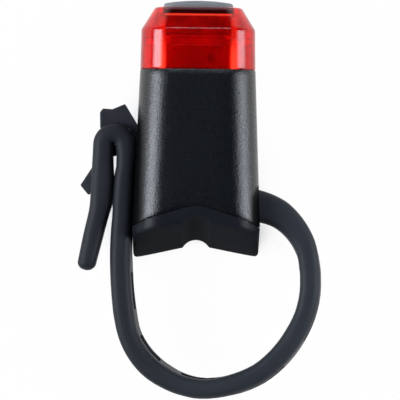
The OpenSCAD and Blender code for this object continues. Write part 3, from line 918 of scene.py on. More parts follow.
@dataclass(frozen=True)
class BodyForm:
    """Outer form that the housing and the saddle pad share."""

    seam_width: float = 25.4
    saddle_width: float = 28.1
    seam_height: float = 23.5
    saddle_height: float = 26.0
    saddle_y: float = 1.5
    seam_y: float = 35.8
    corner: float = 6.5
    least_corner: float = 0.3
    arch_radius: float = 23.0
    arch_height: float = 5.8
    arch_dip: float = 0.62
    arch_end: float = 13.2

    def taper(self, y: float, seam: float, saddle: float) -> float:
        """A size at a station, from its sizes at the seam and at the saddle."""
        return seam + (self.seam_y - y) / (self.seam_y - self.saddle_y) * (saddle - seam)

    def arch(self, x: float) -> float:
        """Station of the arched seam at a place across the light."""
        dip = self.arch_dip * math.sin(math.pi * min(abs(x) / self.arch_end, 1.0)) ** 2
        return self.arch_height - self.arch_radius + math.sqrt(self.arch_radius**2 - x * x) - dip

    def outline(self, y: float, inset: float) -> list[Point2]:
        """Outline at a station, drawn in by an inset."""
        width = self.taper(y, self.seam_width, self.saddle_width) - 2 * inset
        height = self.taper(y, self.seam_height, self.saddle_height) - 2 * inset
        return rounded_outline(width, height, max(self.corner - inset, self.least_corner))


@dataclass
class Housing:
    """The tapered grained shell, with its seats for the strap, the hook and the flap."""

    form: BodyForm
    wall: float = 1.8
    gasket_step: float = 1.0
    gasket_depth: float = 1.0
    rim_depth: float = 5.0
    floor_y: float = 12.0
    lip: float = 0.3
    lip_bend: float = 0.09
    rows: int = 22
    settling: int = 3
    root_slot: Point3 = (9.8, 10.2, 5.9)
    root_slot_start: float = -3.0
    pin: Point2 = (12.0, 6.3)
    pin_size: float = 2.1
    pin_steps: int = 32
    hook_seat: Four = (-12.15, 15.42, 25.32, 6.05)
    flap_seat: Four = (6.3, 24.32, 33.57, -10.65)
    port: Point3 = (9.74, 4.06, 29.37)
    port_z: Point2 = (-14.0, -6.0)
    beside: float = 30.0
    below: float = -20.0

    def bent_ring(self, shell: Shell, rise: Callable[[float], float], inset: float) -> list[int]:
        """A ring whose station depends on where it stands across the light.

        Args:
            shell: The mesh in the making.
            rise: Station at a place across the light.
            inset: How far the ring is drawn in.

        Returns:
            Numbers of the ring's points.
        """
        seam = self.form.seam_y
        points = []
        for (x0, z0), (x1, z1) in zip(self.form.outline(0.0, inset), self.form.outline(seam, inset)):
            share = rise(x0) / seam
            for _ in range(self.settling):
                share = rise(x0 + (x1 - x0) * share) / seam
            points.append((x0 + (x1 - x0) * share, seam * share, z0 + (z1 - z0) * share))
        return shell.row(points)

    def shell(self) -> Shell:
        """The closed shell before its seats are cut.

        Returns:
            The mesh in the making.
        """
        form, seam, arch = self.form, self.form.seam_y, self.form.arch
        shell = Shell()
        rings = [
            self.bent_ring(shell, lambda x: arch(x) + up, inset)
            for up, inset in ((0.0, self.lip), (self.lip_bend, self.lip_bend), (self.lip, 0.0))
        ]
        for step in range(1, self.rows):
            share = step / self.rows
            rings.append(self.bent_ring(shell, lambda x: arch(x) * (1 - share) + seam * share, 0.0))
        for y, inset in (
            (seam - self.lip, 0.0), (seam - self.lip_bend, self.lip_bend), (seam, self.lip),
            (seam, self.gasket_step), (seam - self.gasket_depth, self.gasket_step),
            (seam - self.gasket_depth, self.wall), (seam - self.rim_depth, self.wall),
            (self.floor_y, self.wall),
        ):
            rings.append(shell.ring(form.outline(y, inset), y))
        shell.tube(rings)
        shell.cap(rings[-1])
        self.close_arch(shell, rings[0])
        return shell

    @staticmethod
    def close_arch(shell: Shell, ring: Sequence[int]) -> None:
        """Closes the arched end with strips from top to bottom.

        Args:
            shell: The mesh in the making.
            ring: The ring round the arched end.
        """
        quarter = len(ring) // 4
        last = 3 * quarter + CORNER_STEPS
        top = quarter + CORNER_STEPS
        for i in range(top):
            face = [ring[i], ring[i + 1]]
            if i == top - 1:
                face += ring[top + 1 : 2 * quarter]
            face += [ring[(last - i - 1) % len(ring)], ring[last - i]]
            if i == 0:
                face += ring[last + 1 :]
            shell.faces.append(tuple(face))

    def cutters(self) -> list[bpy.types.Object]:
        """Tools for the strap's slot, its pin, the hook's seat, the flap's seat and the port.

        Returns:
            Closed shapes to cut away.
        """
        slot_x, slot_y, slot_z = self.root_slot
        seat_x, seat_y0, seat_y1, seat_z = self.hook_seat
        flap_x, flap_y0, flap_y1, flap_z = self.flap_seat
        slot_start = (slot_x, self.root_slot_start, -slot_z)
        pin = circle(self.pin, self.pin_size, self.pin_steps)
        return [
            Shell().box(slot_start, (self.beside, slot_y, slot_z)).made("slot_tool"),
            Shell().prism(pin, self.below, 0.0).made("pin_tool"),
            Shell().box((-self.beside, seat_y0, -seat_z), (seat_x, seat_y1, seat_z)).made("seat_tool"),
            Shell().box((-flap_x, flap_y0, self.below), (flap_x, flap_y1, flap_z)).made("flap_tool"),
            Shell().prism(stadium(*self.port), *self.port_z).made("port_tool"),
        ]

    def build(self) -> None:
        """Makes, carves and dresses the housing."""
        thing = self.shell().made("housing_shell")
        carve(thing, self.cutters())
        settle(thing, Finishes.housing, ["housing"], Body.LIGHT)


@dataclass
class Lens:
    """The red cap and its gasket.

    The rounded edges are rows of rings: how far up or down a ring stands, and how much it is
    narrower or wider. The spigot is the rim that stands in the housing.
    """

    form: BodyForm
    chamfer_y: float = 44.6
    chamfer_bend: float = 0.35
    bend_steps: int = 6
    plateau_y: float = 49.55
    plateau_corner: float = 5.0
    end_width: float = 25.1
    end_height: float = 22.9
    inset: float = 3.0
    wall: float = 1.8
    top_wall: float = 1.35
    roof_edge: float = 0.45
    inner_corner: float = 4.7
    inner_bend: float = 0.4
    seam_round: tuple[Point2, ...] = ((0.0, 0.5), (0.07, 0.16), (0.25, 0.0))
    flank_rows: tuple[float, ...] = (38.0, 40.5, 43.0)
    slope_rows: tuple[float, ...] = (45.3, 46.5, 47.7, 49.05, 49.2)
    crest_round: tuple[Point2, ...] = ((0.22, 5.78), (0.12, 6.06), (0.04, 6.4), (0.0, 6.95))
    opening: Point2 = (15.8, 13.7)
    opening_corner: float = 2.85
    opening_round: tuple[Point2, ...] = ((0.0, 0.36), (0.07, 0.1), (0.22, 0.0))
    step: tuple[Point2, ...] = ((0.0, 42.75), (0.9, 42.5), (0.9, 41.1), (-0.1, 40.85))
    ledge: float = 0.5
    spigot_wall: float = 1.2
    spigot_gap: float = 0.2
    spigot_depth: float = 1.6
    spigot_corners: Point2 = (3.5, 4.5)
    gasket_y: Point2 = (0.98, 0.02)
    gasket_grow: Point2 = (-0.2, 1.4)
    gasket_edge: float = 0.15

    @staticmethod
    def section(shell: Shell, size: Point2, drop: float, corner: float, y: float) -> list[int]:
        """One ring of the lens: a size, how much narrower it is, its corner radius and its station."""
        return shell.ring(rounded_outline(size[0] - drop, size[1] - drop, corner), y)

    def seam(self) -> Point2:
        """Size of the inside at the seam."""
        return (self.form.seam_width - 2 * self.wall, self.form.seam_height - 2 * self.wall)

    def chamfer(self) -> list[Point2]:
        """Bend, slope and crest of the chamfer.

        Returns:
            Stations, with how much narrower than the end the lens is there.
        """
        rise = self.plateau_y - self.chamfer_y
        turns = [2 * self.chamfer_bend * step / self.bend_steps for step in range(self.bend_steps + 1)]
        tightness = self.inset / rise / (2 * self.chamfer_bend)
        bend = [(self.chamfer_y - self.chamfer_bend + turn, tightness * turn**2) for turn in turns]
        slope = [(y, 2 * self.inset * (y - self.chamfer_y) / rise) for y in self.slope_rows]
        return bend + slope + [(self.plateau_y - down, drop) for down, drop in self.crest_round]

    def outer(self, shell: Shell) -> list[list[int]]:
        """Rings of the outside, from the seam to the plateau.

        Args:
            shell: The mesh in the making.

        Returns:
            Numbers of each ring's points.
        """
        form = self.form
        seam, end = (form.seam_width, form.seam_height), (self.end_width, self.end_height)
        rings = [
            self.section(shell, seam, drop, form.corner - drop / 2, form.seam_y + up)
            for up, drop in self.seam_round
        ]
        for y in (*self.flank_rows, self.chamfer_y - 2 * self.chamfer_bend):
            share = (y - form.seam_y) / (self.chamfer_y - form.seam_y)
            size = tuple(a + (b - a) * share for a, b in zip(seam, end))
            rings.append(self.section(shell, size, 0.0, form.corner, y))
        for y, drop in self.chamfer():
            share = min(max((y - self.chamfer_y) / (self.plateau_y - self.chamfer_y), 0.0), 1.0)
            corner = form.corner + (self.plateau_corner - form.corner) * share
            rings.append(self.section(shell, end, drop, corner, y))
        return rings

    def inner(self, shell: Shell) -> list[list[int]]:
        """Rings of the button's opening and of the inside, back to the seam.

        Args:
            shell: The mesh in the making.

        Returns:
            Numbers of each ring's points.
        """
        opening, seam, seam_y = self.opening, self.seam(), self.form.seam_y
        plateau = (self.end_width - 2 * self.inset, self.end_height - 2 * self.inset)
        bore = (self.end_width - 2 * self.wall, self.end_height - 2 * self.wall)
        roof, ledge, low = self.plateau_y - self.top_wall, seam_y + self.ledge, seam_y - self.spigot_depth
        thin, wide = 2 * self.spigot_wall, 2 * self.spigot_gap
        inside, outside = self.spigot_corners
        rows = [
            *((opening, -grow, self.opening_corner + grow / 2, self.plateau_y - down)
              for down, grow in self.opening_round),
            (opening, 0.0, self.opening_corner, roof),
            (plateau, 2 * self.roof_edge, self.plateau_corner, roof),
            (bore, 0.0, self.inner_corner, self.chamfer_y - self.inner_bend),
            *((bore, drop, self.inner_corner, y) for drop, y in self.step),
            (seam, 0.0, self.inner_corner, ledge),
            (seam, thin, inside, ledge), (seam, thin, inside, low),
            (seam, wide, outside, low), (seam, wide, outside, seam_y),
        ]
        return [self.section(shell, *row) for row in rows]

    def gasket(self) -> Shell:
        """A soft ring in the step of the housing's rim.

        Returns:
            The mesh in the making.
        """
        shell = Shell()
        low, high = (self.form.seam_y - down for down in self.gasket_y)
        (thin, wide), edge = self.gasket_grow, self.gasket_edge
        rows = (
            (wide, low + edge), (wide, high - edge), (wide - 2 * edge, high), (thin + 2 * edge, high),
            (thin, high - edge), (thin, low + edge), (thin + 2 * edge, low), (wide - 2 * edge, low),
        )
        corner = self.form.corner - self.wall
        rings = [self.section(shell, self.seam(), -grow, corner + grow / 2, y) for grow, y in rows]
        shell.tube(rings, round_trip=True)
        return shell

    def build(self) -> None:
        """Makes and dresses the lens and its gasket."""
        shell = Shell()
        shell.tube(self.outer(shell) + self.inner(shell), round_trip=True)
        settle(shell.made("lens_cap"), Finishes.lens, ["lens"], Body.LIGHT)
        settle(self.gasket().made("lens_gasket_ring"), Finishes.seal, ["lens_gasket"], Body.LIGHT)


@dataclass
class PowerButton:
    """The domed button with its flange and stem, and the seal round the stem.

    The dome's edge is rows of rings: how far a ring is drawn in and how far it is down, as
    shares of the edge. The seal's rings have a diameter and a height above its foot.
    """

    width: float = 15.3
    height: float = 13.2
    corner: float = 2.6
    flange: float = 0.75
    flange_y: Point2 = (46.75, 47.75)
    top_y: float = 51.25
    dome_radius: float = 45.0
    dome_rows: tuple[float, ...] = (0.8, 0.55, 0.3, 0.1)
    edge: float = 0.55
    edge_round: tuple[Point2, ...] = ((0.0, 1.0), (0.08, 0.55), (0.27, 0.27), (0.6, 0.08), (1.0, 0.0))
    stem: float = 4.0
    stem_y: float = 34.93
    stem_edge: float = 0.2
    stem_root: float = 0.3
    skirt: float = 1.4
    skirt_inset: float = 0.3
    skirt_y: float = 44.1
    seal_y: float = 43.3
    seal_guide: Point3 = (10.0, 10.0, 4.9)
    seal_rings: tuple[Point2, ...] = (
        (4.1, 0.0), (7.5, 0.0), (7.6, 0.3), (7.0, 0.6), (6.2, 0.75), (5.6, 1.1), (5.0, 1.2), (4.1, 1.2),
    )

    def dome(self, x: float, z: float) -> float:
        """Station of the dome's surface at a place."""
        return self.top_y - self.dome_radius + math.sqrt(self.dome_radius**2 - x * x - z * z)

    def outline(self, inset: float) -> list[Point2]:
        """The button's outline, drawn in by an inset."""
        return rounded_outline(self.width - 2 * inset, self.height - 2 * inset, self.corner - inset)

    def shell(self) -> Shell:
        """The button from the end of its stem to the top of its dome.

        Returns:
            The mesh in the making.
        """
        shell = Shell()
        outline, grown, skirt = self.outline(0.0), self.outline(-self.flange), self.outline(self.skirt_inset)
        inside = self.outline(self.skirt_inset + self.skirt)
        stem = round_outline(outline, self.stem)
        stem_end = round_outline(outline, self.stem - 2 * self.stem_edge)
        stem_root = round_outline(outline, self.stem + 2 * self.stem_root)
        low, high = self.flange_y
        rings = [
            shell.ring(ring, y)
            for ring, y in (
                (stem_end, self.stem_y), (stem, self.stem_y + self.stem_edge), (stem, low - self.stem_root),
                (stem_root, low), (inside, low), (inside, self.skirt_y), (skirt, self.skirt_y), (skirt, low),
                (grown, low), (grown, high), (outline, high),
            )
        ]
        for inset, drop in self.edge_round:
            ring = self.outline(inset * self.edge)
            rings.append(shell.row([(x, self.dome(x, z) - drop * self.edge, z) for x, z in ring]))
        for share in self.dome_rows:
            ring = [(x * share, z * share) for x, z in self.outline(self.edge)]
            rings.append(shell.row([(x, self.dome(x, z), z) for x, z in ring]))
        shell.solid(rings)
        return shell

    def seal(self) -> Shell:
        """A ring with one rounded bead, which stands on the carrier.

        Returns:
            The mesh in the making.
        """
        shell = Shell()
        guide = rounded_outline(*self.seal_guide)
        rings = [shell.ring(round_outline(guide, size), self.seal_y + up) for size, up in self.seal_rings]
        shell.tube(rings, round_trip=True)
        return shell

    def build(self) -> None:
        """Makes and dresses the button and its seal."""
        settle(self.shell().made("power_button"), Finishes.button, ["button_cap"], Body.BUTTON)
        settle(self.seal().made("stem_seal"), Finishes.seal, ["button_seal"], Body.LIGHT)


@dataclass
class SaddlePad:
    """The raked rubber wedge with its vee and groove."""

    form: BodyForm
    rake: float = 12.4
    drop: float = 0.32
    slope: float = 12.4
    right_slope: float = 10.7
    corner: float = 0.8
    groove_radius: float = 3.5
    groove_depth: float = 1.05
    edge: float = 0.6
    edge_turns: tuple[float, ...] = (30.0, 60.0, 90.0)
    side_rows: tuple[float, ...] = (0.35, 0.7, 1.0)
    crown_edge: float = 0.14
    seam_gap: float = 0.05
    narrowing: float = 0.05
    groove_steps: int = 8
    flank_steps: int = 6
    bend_steps: int = 14
    half_rows: int = 10
    lip_halvings: int = 40
    sharp: float = 40.0

    def groove(self, x: float) -> float:
        """Station of the groove's round floor, before the rake."""
        return self.groove_depth - self.groove_radius + math.sqrt(self.groove_radius**2 - x * x)

    def vee(self, x: float, z: float) -> float:
        """The saddle's surface.

        Args:
            x: Place across the light.
            z: Height of the place.

        Returns:
            The surface's station there.
        """
        half = self.form.saddle_width / 2
        flat = -abs(x) * math.tan(math.radians(self.slope if x < 0 else self.right_slope))
        beyond = abs(x) - half + self.corner
        if beyond > 0:
            flat += self.corner - math.sqrt(max(self.corner**2 - beyond**2, 0.0))
        if abs(x) < self.groove_radius:
            flat = max(flat, self.groove(x))
        rake = math.radians(self.rake)
        full = z * self.form.saddle_height / 2 / self.reach(min(abs(x), half), 0.0)
        return flat / math.cos(rake) + full * math.tan(rake) - self.drop

    def side(self, x: float, z: float, share: float) -> float:
        """Station on the pad's side, by a share of the way from its rounded edge to the crown."""
        top = self.form.arch(x) - self.crown_edge - self.seam_gap
        return (self.vee(x, z) + self.edge) * (1 - share) + top * share

    def lip(self) -> float:
        """Half-width of the groove where it meets the flanks.

        Returns:
            The half-width, found by halving.
        """
        low, high = 0.0, self.groove_radius
        slope = math.tan(math.radians(self.slope))
        for _ in range(self.lip_halvings):
            x = (low + high) / 2
            low, high = (x, high) if self.groove(x) > -x * slope else (low, x)
        return low

    def reach(self, x: float, grow: float) -> float:
        """Height of the pad's outline above its middle.

        Args:
            x: Place across the light.
            grow: How far the outline is let out.

        Returns:
            The half-height there.
        """
        half, high = self.form.saddle_width / 2 + grow, self.form.saddle_height / 2 + grow
        corner = self.form.corner + grow
        beyond = max(abs(x) - (half - corner), 0.0)
        return high - corner + math.sqrt(max(corner**2 - beyond**2, 0.0))

    def across(self, grow: float) -> list[float]:
        """Places across the pad, close together at the groove and the corners.

        Args:
            grow: How far the outline is let out.

        Returns:
            The places, from left to right.
        """
        half, lip, corner = self.form.saddle_width / 2 + grow, self.lip(), self.form.corner
        groove = [lip * step / self.groove_steps for step in range(self.groove_steps + 1)]
        flank = [
            lip + (half - corner - lip) * step / self.flank_steps for step in range(1, self.flank_steps + 1)
        ]
        turns = [math.radians(90 * step / self.bend_steps) for step in range(1, self.bend_steps + 1)]
        positive = groove + flank + [min(half - corner + corner * math.sin(turn), half) for turn in turns]
        return [-x for x in reversed(positive[1:])] + positive

    def sheet(self, shell: Shell, grow: float, lift: Callable[[float, float], float]) -> list[list[int]]:
        """A grid over the pad's outline.

        Args:
            shell: The mesh in the making.
            grow: How far the outline is let out.
            lift: Station at a place and height.

        Returns:
            Numbers of the points, row by row.
        """
        rows = []
        for x in self.across(grow):
            step = self.reach(x, grow) / self.half_rows
            heights = [step * t for t in range(-self.half_rows, self.half_rows + 1)]
            rows.append(shell.row([(x, lift(x, z), z) for z in heights]))
        return rows

    @staticmethod
    def border(rows: Sequence[Sequence[int]]) -> list[int]:
        """The outline of a grid, in order."""
        down, up = [row[0] for row in rows], [row[-1] for row in reversed(rows)]
        return down + list(rows[-1][1:-1]) + up + list(reversed(rows[0][1:-1]))

    def build(self) -> None:
        """Makes and dresses the pad."""
        form = self.form
        shell = Shell()
        lower = self.sheet(shell, -self.edge, self.vee)
        grids = [lower]
        for turn in map(math.radians, self.edge_turns):
            out, up = self.edge * (math.sin(turn) - 1), self.edge * (1 - math.cos(turn))
            grids.append(self.sheet(shell, out - self.narrowing, lambda x, z: self.vee(x, z) + up))
        for share in self.side_rows:
            grids.append(self.sheet(shell, 0.0, lambda x, z: self.side(x, z, share)))
        crown = self.sheet(shell, -self.crown_edge, lambda x, z: form.arch(x) - self.seam_gap)
        for rows in (lower, crown):
            for first, second in zip(rows, rows[1:]):
                shell.bridge(first, second, closed=False)
        shell.tube([self.border(grid) for grid in (*grids, crown)])
        shell.drop_unused()
        thing = shell.made("saddle_wedge", sharp=self.sharp)
        settle(thing, Finishes.pad, ["saddle_pad"], Body.LIGHT)


@dataclass
class LadderStrap:
    """One rubber strap: rooted in the housing, round the loop and folded over the hook.

    A bend is a radius and a turn in degrees. The two tables of faces give how uneven the pulled
    rubber lies: a place, in degrees round the root or in millimetres from the start of the loop,
    how far the inner and the outer face stand out there, and how far the lower edge leans in.
    """

    form: BodyForm
    thickness: float = 4.5
    width: float = 11.0
    slot_width: float = 5.0
    slot_length: float = 8.5
    slot_pitch: float = 15.1
    slot_count: int = 7
    slot_edge: float = 0.3
    slot_margin: float = 0.1
    tail_slot: float = 12.2
    fold_gap: float = 0.6
    stem_angle: float = 42.0
    leg_lean: float = 2.504
    leg_gap: float = 0.4
    leg_length: float = 21.1
    loop_radius: float = 24.6
    loop_y: float = -10.0
    loop_foot: Point2 = (17.0, -79.6)
    loop_side: Point2 = (82.8, -10.4)
    tail_top: float = 12.4
    tail_bend: Point2 = (22.0, -10.5)
    tail_end: float = 10.4
    tip: tuple[Point2, ...] = ((0.18, 0.45), (0.5, 0.85), (0.95, 1.15), (1.5, 1.3))
    root_outer: float = 20.2
    root_inner: float = 12.5
    root_end: float = 10.2
    root_gap: float = 0.35
    root_reach: float = 14.0
    root_steps: int = 24
    edge: float = 1.7
    edge_share: float = 0.45
    edge_steps: int = 5
    turn_step: float = 4.0
    length_step: float = 2.5
    fold_steps: int = 36
    stop_gap: float = 0.12
    sharp: float = 40.0
    pivot: Point2 = (20.455, -25.437)
    bend_start: Point2 = (6.24, 3.59)
    bend_end: Point2 = (-5.3, -3.04)
    press: float = 0.27
    press_on: Point2 = (5.0, 6.2)
    press_off: Point2 = (13.0, 15.0)
    root_faces: tuple[Four, ...] = (
        (0.0, -0.7, -0.7, -0.68), (10.6, -0.66, -0.66, -0.6), (17.5, -0.38, -0.36, -0.34),
        (25.0, -0.06, -0.03, 0.0), (40.0, 0.12, 0.28, 0.0), (54.0, 0.26, 0.56, 0.0),
        (65.0, 0.12, 0.34, 0.0), (74.0, 0.0, 0.12, 0.0), (90.0, 0.0, 0.0, 0.0),
    )
    loop_faces: tuple[Four, ...] = (
        (0.0, -0.7, -0.7, -0.68), (3.8, -0.55, -0.55, -0.77), (8.5, -0.48, -0.48, -0.86),
        (13.1, -0.6, -0.6, -1.12), (17.9, -0.46, -0.46, -1.18), (22.6, -0.2, -0.2, -1.08),
        (24.9, -0.06, -0.06, -1.0), (29.8, -0.14, -0.14, -0.95), (32.2, -0.1, -0.1, -0.72),
        (34.7, 0.1, -0.04, -0.28), (37.1, 0.3, 0.0, 0.0), (39.7, 0.06, -0.06, 0.06),
        (42.0, 0.0, -0.22, 0.3), (46.6, -0.27, -0.28, 0.58), (51.2, -0.22, -0.08, 0.82),
        (55.8, -0.14, -0.08, 0.82), (60.3, 0.06, -0.03, 0.8), (65.0, 0.0, 0.08, 0.72),
        (70.0, 0.0, 0.0, 0.65), (75.5, 0.0, 0.0, 0.62), (79.0, 0.0, 0.0, 0.33), (84.0, 0.0, 0.0, 0.32),
        (88.0, 0.0, -0.24, 0.31), (92.0, 0.0, -0.32, 0.3), (96.2, 0.0, -0.42, 0.3), (99.3, 0.0, -0.4, 0.2),
        (101.0, 0.0, -0.14, 0.06), (102.0, 0.0, 0.0, 0.0), (106.0, 0.06, 0.0, 0.0), (109.0, 0.18, 0.0, 0.0),
        (111.0, 0.2, 0.05, 0.0), (112.6, 0.2, 0.14, 0.0), (115.8, 0.2, 0.4, 0.0), (120.0, 0.2, 0.3, 0.0),
        (124.0, 0.2, 0.2, 0.0), (127.0, 0.18, 0.0, 0.0), (131.0, 0.2, -0.06, 0.0), (137.5, 0.46, -0.2, 0.0),
    )

    def fold_radius(self) -> float:
        """Radius of the fold's middle line."""
        return (self.thickness + self.fold_gap) / 2

    def route(self) -> list[Point3]:
        """Stretches of the middle line.

        Returns:
            Each stretch's radius (0 where it is straight), turn in degrees and length.
        """

        def bow(radius: float, turn: float) -> Point3:
            """A curved stretch."""
            return (radius, turn, radius * math.radians(abs(turn)))

        side_radius, side_turn = self.loop_side
        return [
            bow(self.loop_radius, -90.0),
            bow(*self.loop_foot),
            bow(side_radius, side_turn - self.leg_lean),
            (0.0, 0.0, self.leg_length),
            bow(self.fold_radius(), 180.0),
            (0.0, 0.0, self.tail_top),
            bow(*self.tail_bend),
            (0.0, 0.0, self.tail_end),
        ]

    def fold_ends(self) -> Point2:
        """Distances along the middle line at which the fold starts and ends."""
        lengths = [length for _, _, length in self.route()]
        return (sum(lengths[:4]), sum(lengths[:5]))

    @staticmethod
    def moved(place: Point3, stretch: Point3) -> Point3:
        """Where a stretch ends.

        Args:
            place: Where it starts: x, y and heading in degrees.
            stretch: Its radius, turn and length.

        Returns:
            Its end: x, y and heading.
        """
        x, y, heading = place
        radius, turn, length = stretch
        start = math.radians(heading)
        if radius == 0.0:
            return (x + length * math.cos(start), y + length * math.sin(start), heading)
        end = math.radians(heading + turn)
        side = math.copysign(radius, turn)
        return (
            x + side * (math.sin(end) - math.sin(start)),
            y - side * (math.cos(end) - math.cos(start)),
            heading + turn,
        )

    def loop_x(self) -> float:
        """Middle of the loop across the light, which puts the leg beside the flank.

        Returns:
            The place of that middle.
        """
        place = (self.loop_radius, 0.0, -90.0)
        for stretch in self.route()[:3]:
            place = self.moved(place, stretch)
        return -self.form.saddle_width / 2 - self.leg_gap - self.thickness / 2 - place[0]

    def at(self, distance: float) -> Point3:
        """A place on the middle line.

        Args:
            distance: How far it is along the line.

        Returns:
            Its x, y and heading in degrees.
        """
        place = (self.loop_x() + self.loop_radius, self.loop_y, -90.0)
        left = distance
        for radius, turn, length in self.route():
            if left <= length + SLACK:
                share = left / length
                return self.moved(place, (radius, turn * share, length * share))
            place = self.moved(place, (radius, turn, length))
            left -= length
        return place

    def slots(self) -> list[Point2]:
        """The slots along the middle line.

        Returns:
            Start and end of each slot, in order.
        """
        fold, tail = self.fold_ends()
        last = fold + self.fold_radius() * math.radians(self.stem_angle + self.leg_lean)
        ends = [last - index * self.slot_pitch for index in range(self.slot_count)]
        return sorted([(end - self.slot_length, end) for end in ends] + [(tail, tail + self.tail_slot)])

    def stops(self) -> list[float]:
        """Distances at which the strap has a section.

        Returns:
            The distances, with the ends of all slots among them.
        """
        stops, start = [], 0.0
        for radius, turn, length in self.route():
            count = max(2, math.ceil(abs(turn) / self.turn_step), math.ceil(length / self.length_step))
            if radius == self.fold_radius():
                count = self.fold_steps
            stops += [start + length * step / count for step in range(count)]
            start += length
        ends = [end for span in self.slots() for end in span]
        kept = [stop for stop in (*stops, start) if all(abs(stop - end) > self.stop_gap for end in ends)]
        return sorted(kept + ends)

    def section(self, inner: Point2, outer: Point2, width: float) -> list[Point3]:
        """Points round the strap at one section.

        Args:
            inner: Point on its inner face, in X and Y.
            outer: Point on its outer face.
            width: Width along Z.

        Returns:
            Points in order; the first two and the two half-way round bound a slot.
        """
        depth = math.dist(inner, outer)
        half, edge = width / 2, min(self.edge, depth * self.edge_share)
        slot = min(self.slot_width / 2, half - edge - self.slot_margin)
        turns = [math.radians(90 * step / self.edge_steps) for step in range(self.edge_steps + 1)]
        ring = [(depth, -slot), (depth, slot)]
        ring += [(depth - edge + edge * math.cos(a), half - edge + edge * math.sin(a)) for a in turns]
        ring += [(edge - edge * math.sin(a), half - edge + edge * math.cos(a)) for a in turns]
        ring += [(0.0, slot), (0.0, -slot)]
        ring += [(edge - edge * math.cos(a), edge - half - edge * math.sin(a)) for a in turns]
        ring += [(depth - edge + edge * math.sin(a), edge - half - edge * math.cos(a)) for a in turns]
        step = ((outer[0] - inner[0]) / depth, (outer[1] - inner[1]) / depth)
        return [(inner[0] + step[0] * t, inner[1] + step[1] * t, z) for t, z in ring]

    def twisted(self, points: Sequence[Point3], out: Point2, lean: float) -> list[Point3]:
        """A section whose lower edge stands inside its upper edge.

        Args:
            points: The section.
            out: Direction from its inner to its outer face.
            lean: How far the lower edge stands in.

        Returns:
            The section's points, moved.
        """
        shifts = [lean * (0.5 - z / self.width) for _, _, z in points]
        return [
            (x - out[0] * shift, y - out[1] * shift, z) for (x, y, z), shift in zip(points, shifts)
        ]

    @staticmethod
    def between(rows: Sequence[Four], place: float) -> list[float]:
        """Values of a table at a place.

        Args:
            rows: The table, in order of places.
            place: The place.

        Returns:
            How far the inner and the outer face stand out, and the lean.
        """
        for first, second in zip(rows, rows[1:]):
            if first[0] <= place <= second[0]:
                share = (place - first[0]) / (second[0] - first[0])
                return [a + (b - a) * share for a, b in zip(first[1:], second[1:])]
        return list(rows[-1][1:])

    def pressed(self, distance: float) -> float:
        """How far the leg or the tail bulges where the hook presses them together.

        Args:
            distance: Distance along the middle line.

        Returns:
            The bulge of the outer face.
        """
        fold, tail = self.fold_ends()
        down = fold - distance if distance < fold else distance - tail

        def step(start: float, end: float) -> float:
            """Smooth step from 0 to 1 on the way down from the fold."""
            share = min(max((down - start) / (end - start), 0.0), 1.0)
            return share * share * (3 - 2 * share)

        return self.press * step(*self.press_on) * (1 - step(*self.press_off))

    def root_sections(self) -> list[list[Point3]]:
        """Sections from the end in the housing to the start of the loop.

        Returns:
            The points of each section.
        """
        x, y = self.loop_x() + self.loop_radius, self.loop_y
        outer_x = x + self.thickness / 2 - self.root_outer
        inner_x = x - self.thickness / 2 - self.root_inner
        outer_turn = math.acos((self.root_end - outer_x) / self.root_outer)
        inner_turn = math.acos((self.root_end - inner_x) / self.root_inner)
        flank = self.form.saddle_width / 2 + self.root_gap
        sections = []
        for step in range(self.root_steps):
            share = 1 - step / self.root_steps
            a, b = outer_turn * share, inner_turn * share
            near, far, lean = self.between(self.root_faces, math.degrees(a))
            far, near = far + self.root_outer, near + self.root_inner
            outer = (outer_x + far * math.cos(a), y + far * math.sin(a))
            inner = (inner_x + near * math.cos(b), y + near * math.sin(b))
            if inner[0] < flank:
                seam = self.form.arch(min(inner[0], self.root_reach))
                inner = (inner[0], max(inner[1], seam + self.root_gap))
            out = (math.cos((a + b) / 2), math.sin((a + b) / 2))
            sections.append(self.twisted(self.section(inner, outer, self.width), out, lean))
        return sections

    def route_section(self, distance: float, thin: float = 0.0, beyond: float = 0.0) -> list[Point3]:
        """A section of the loop or the tail.

        Args:
            distance: Distance along the middle line.
            thin: How far it is drawn in, at the tip.
            beyond: How far it is moved on, at the tip.

        Returns:
            The section's points.
        """
        x, y, heading = self.at(distance)
        turn = math.radians(heading)
        x, y = x + beyond * math.cos(turn), y + beyond * math.sin(turn)
        half = self.thickness / 2 - thin
        near, far, lean = self.between(self.loop_faces, distance)
        left = (-math.sin(turn), math.cos(turn))
        faces = (near - half, far + half + self.pressed(distance))
        inner, outer = ((x + left[0] * out, y + left[1] * out) for out in faces)
        return self.twisted(self.section(inner, outer, self.width - 2 * thin), left, lean)

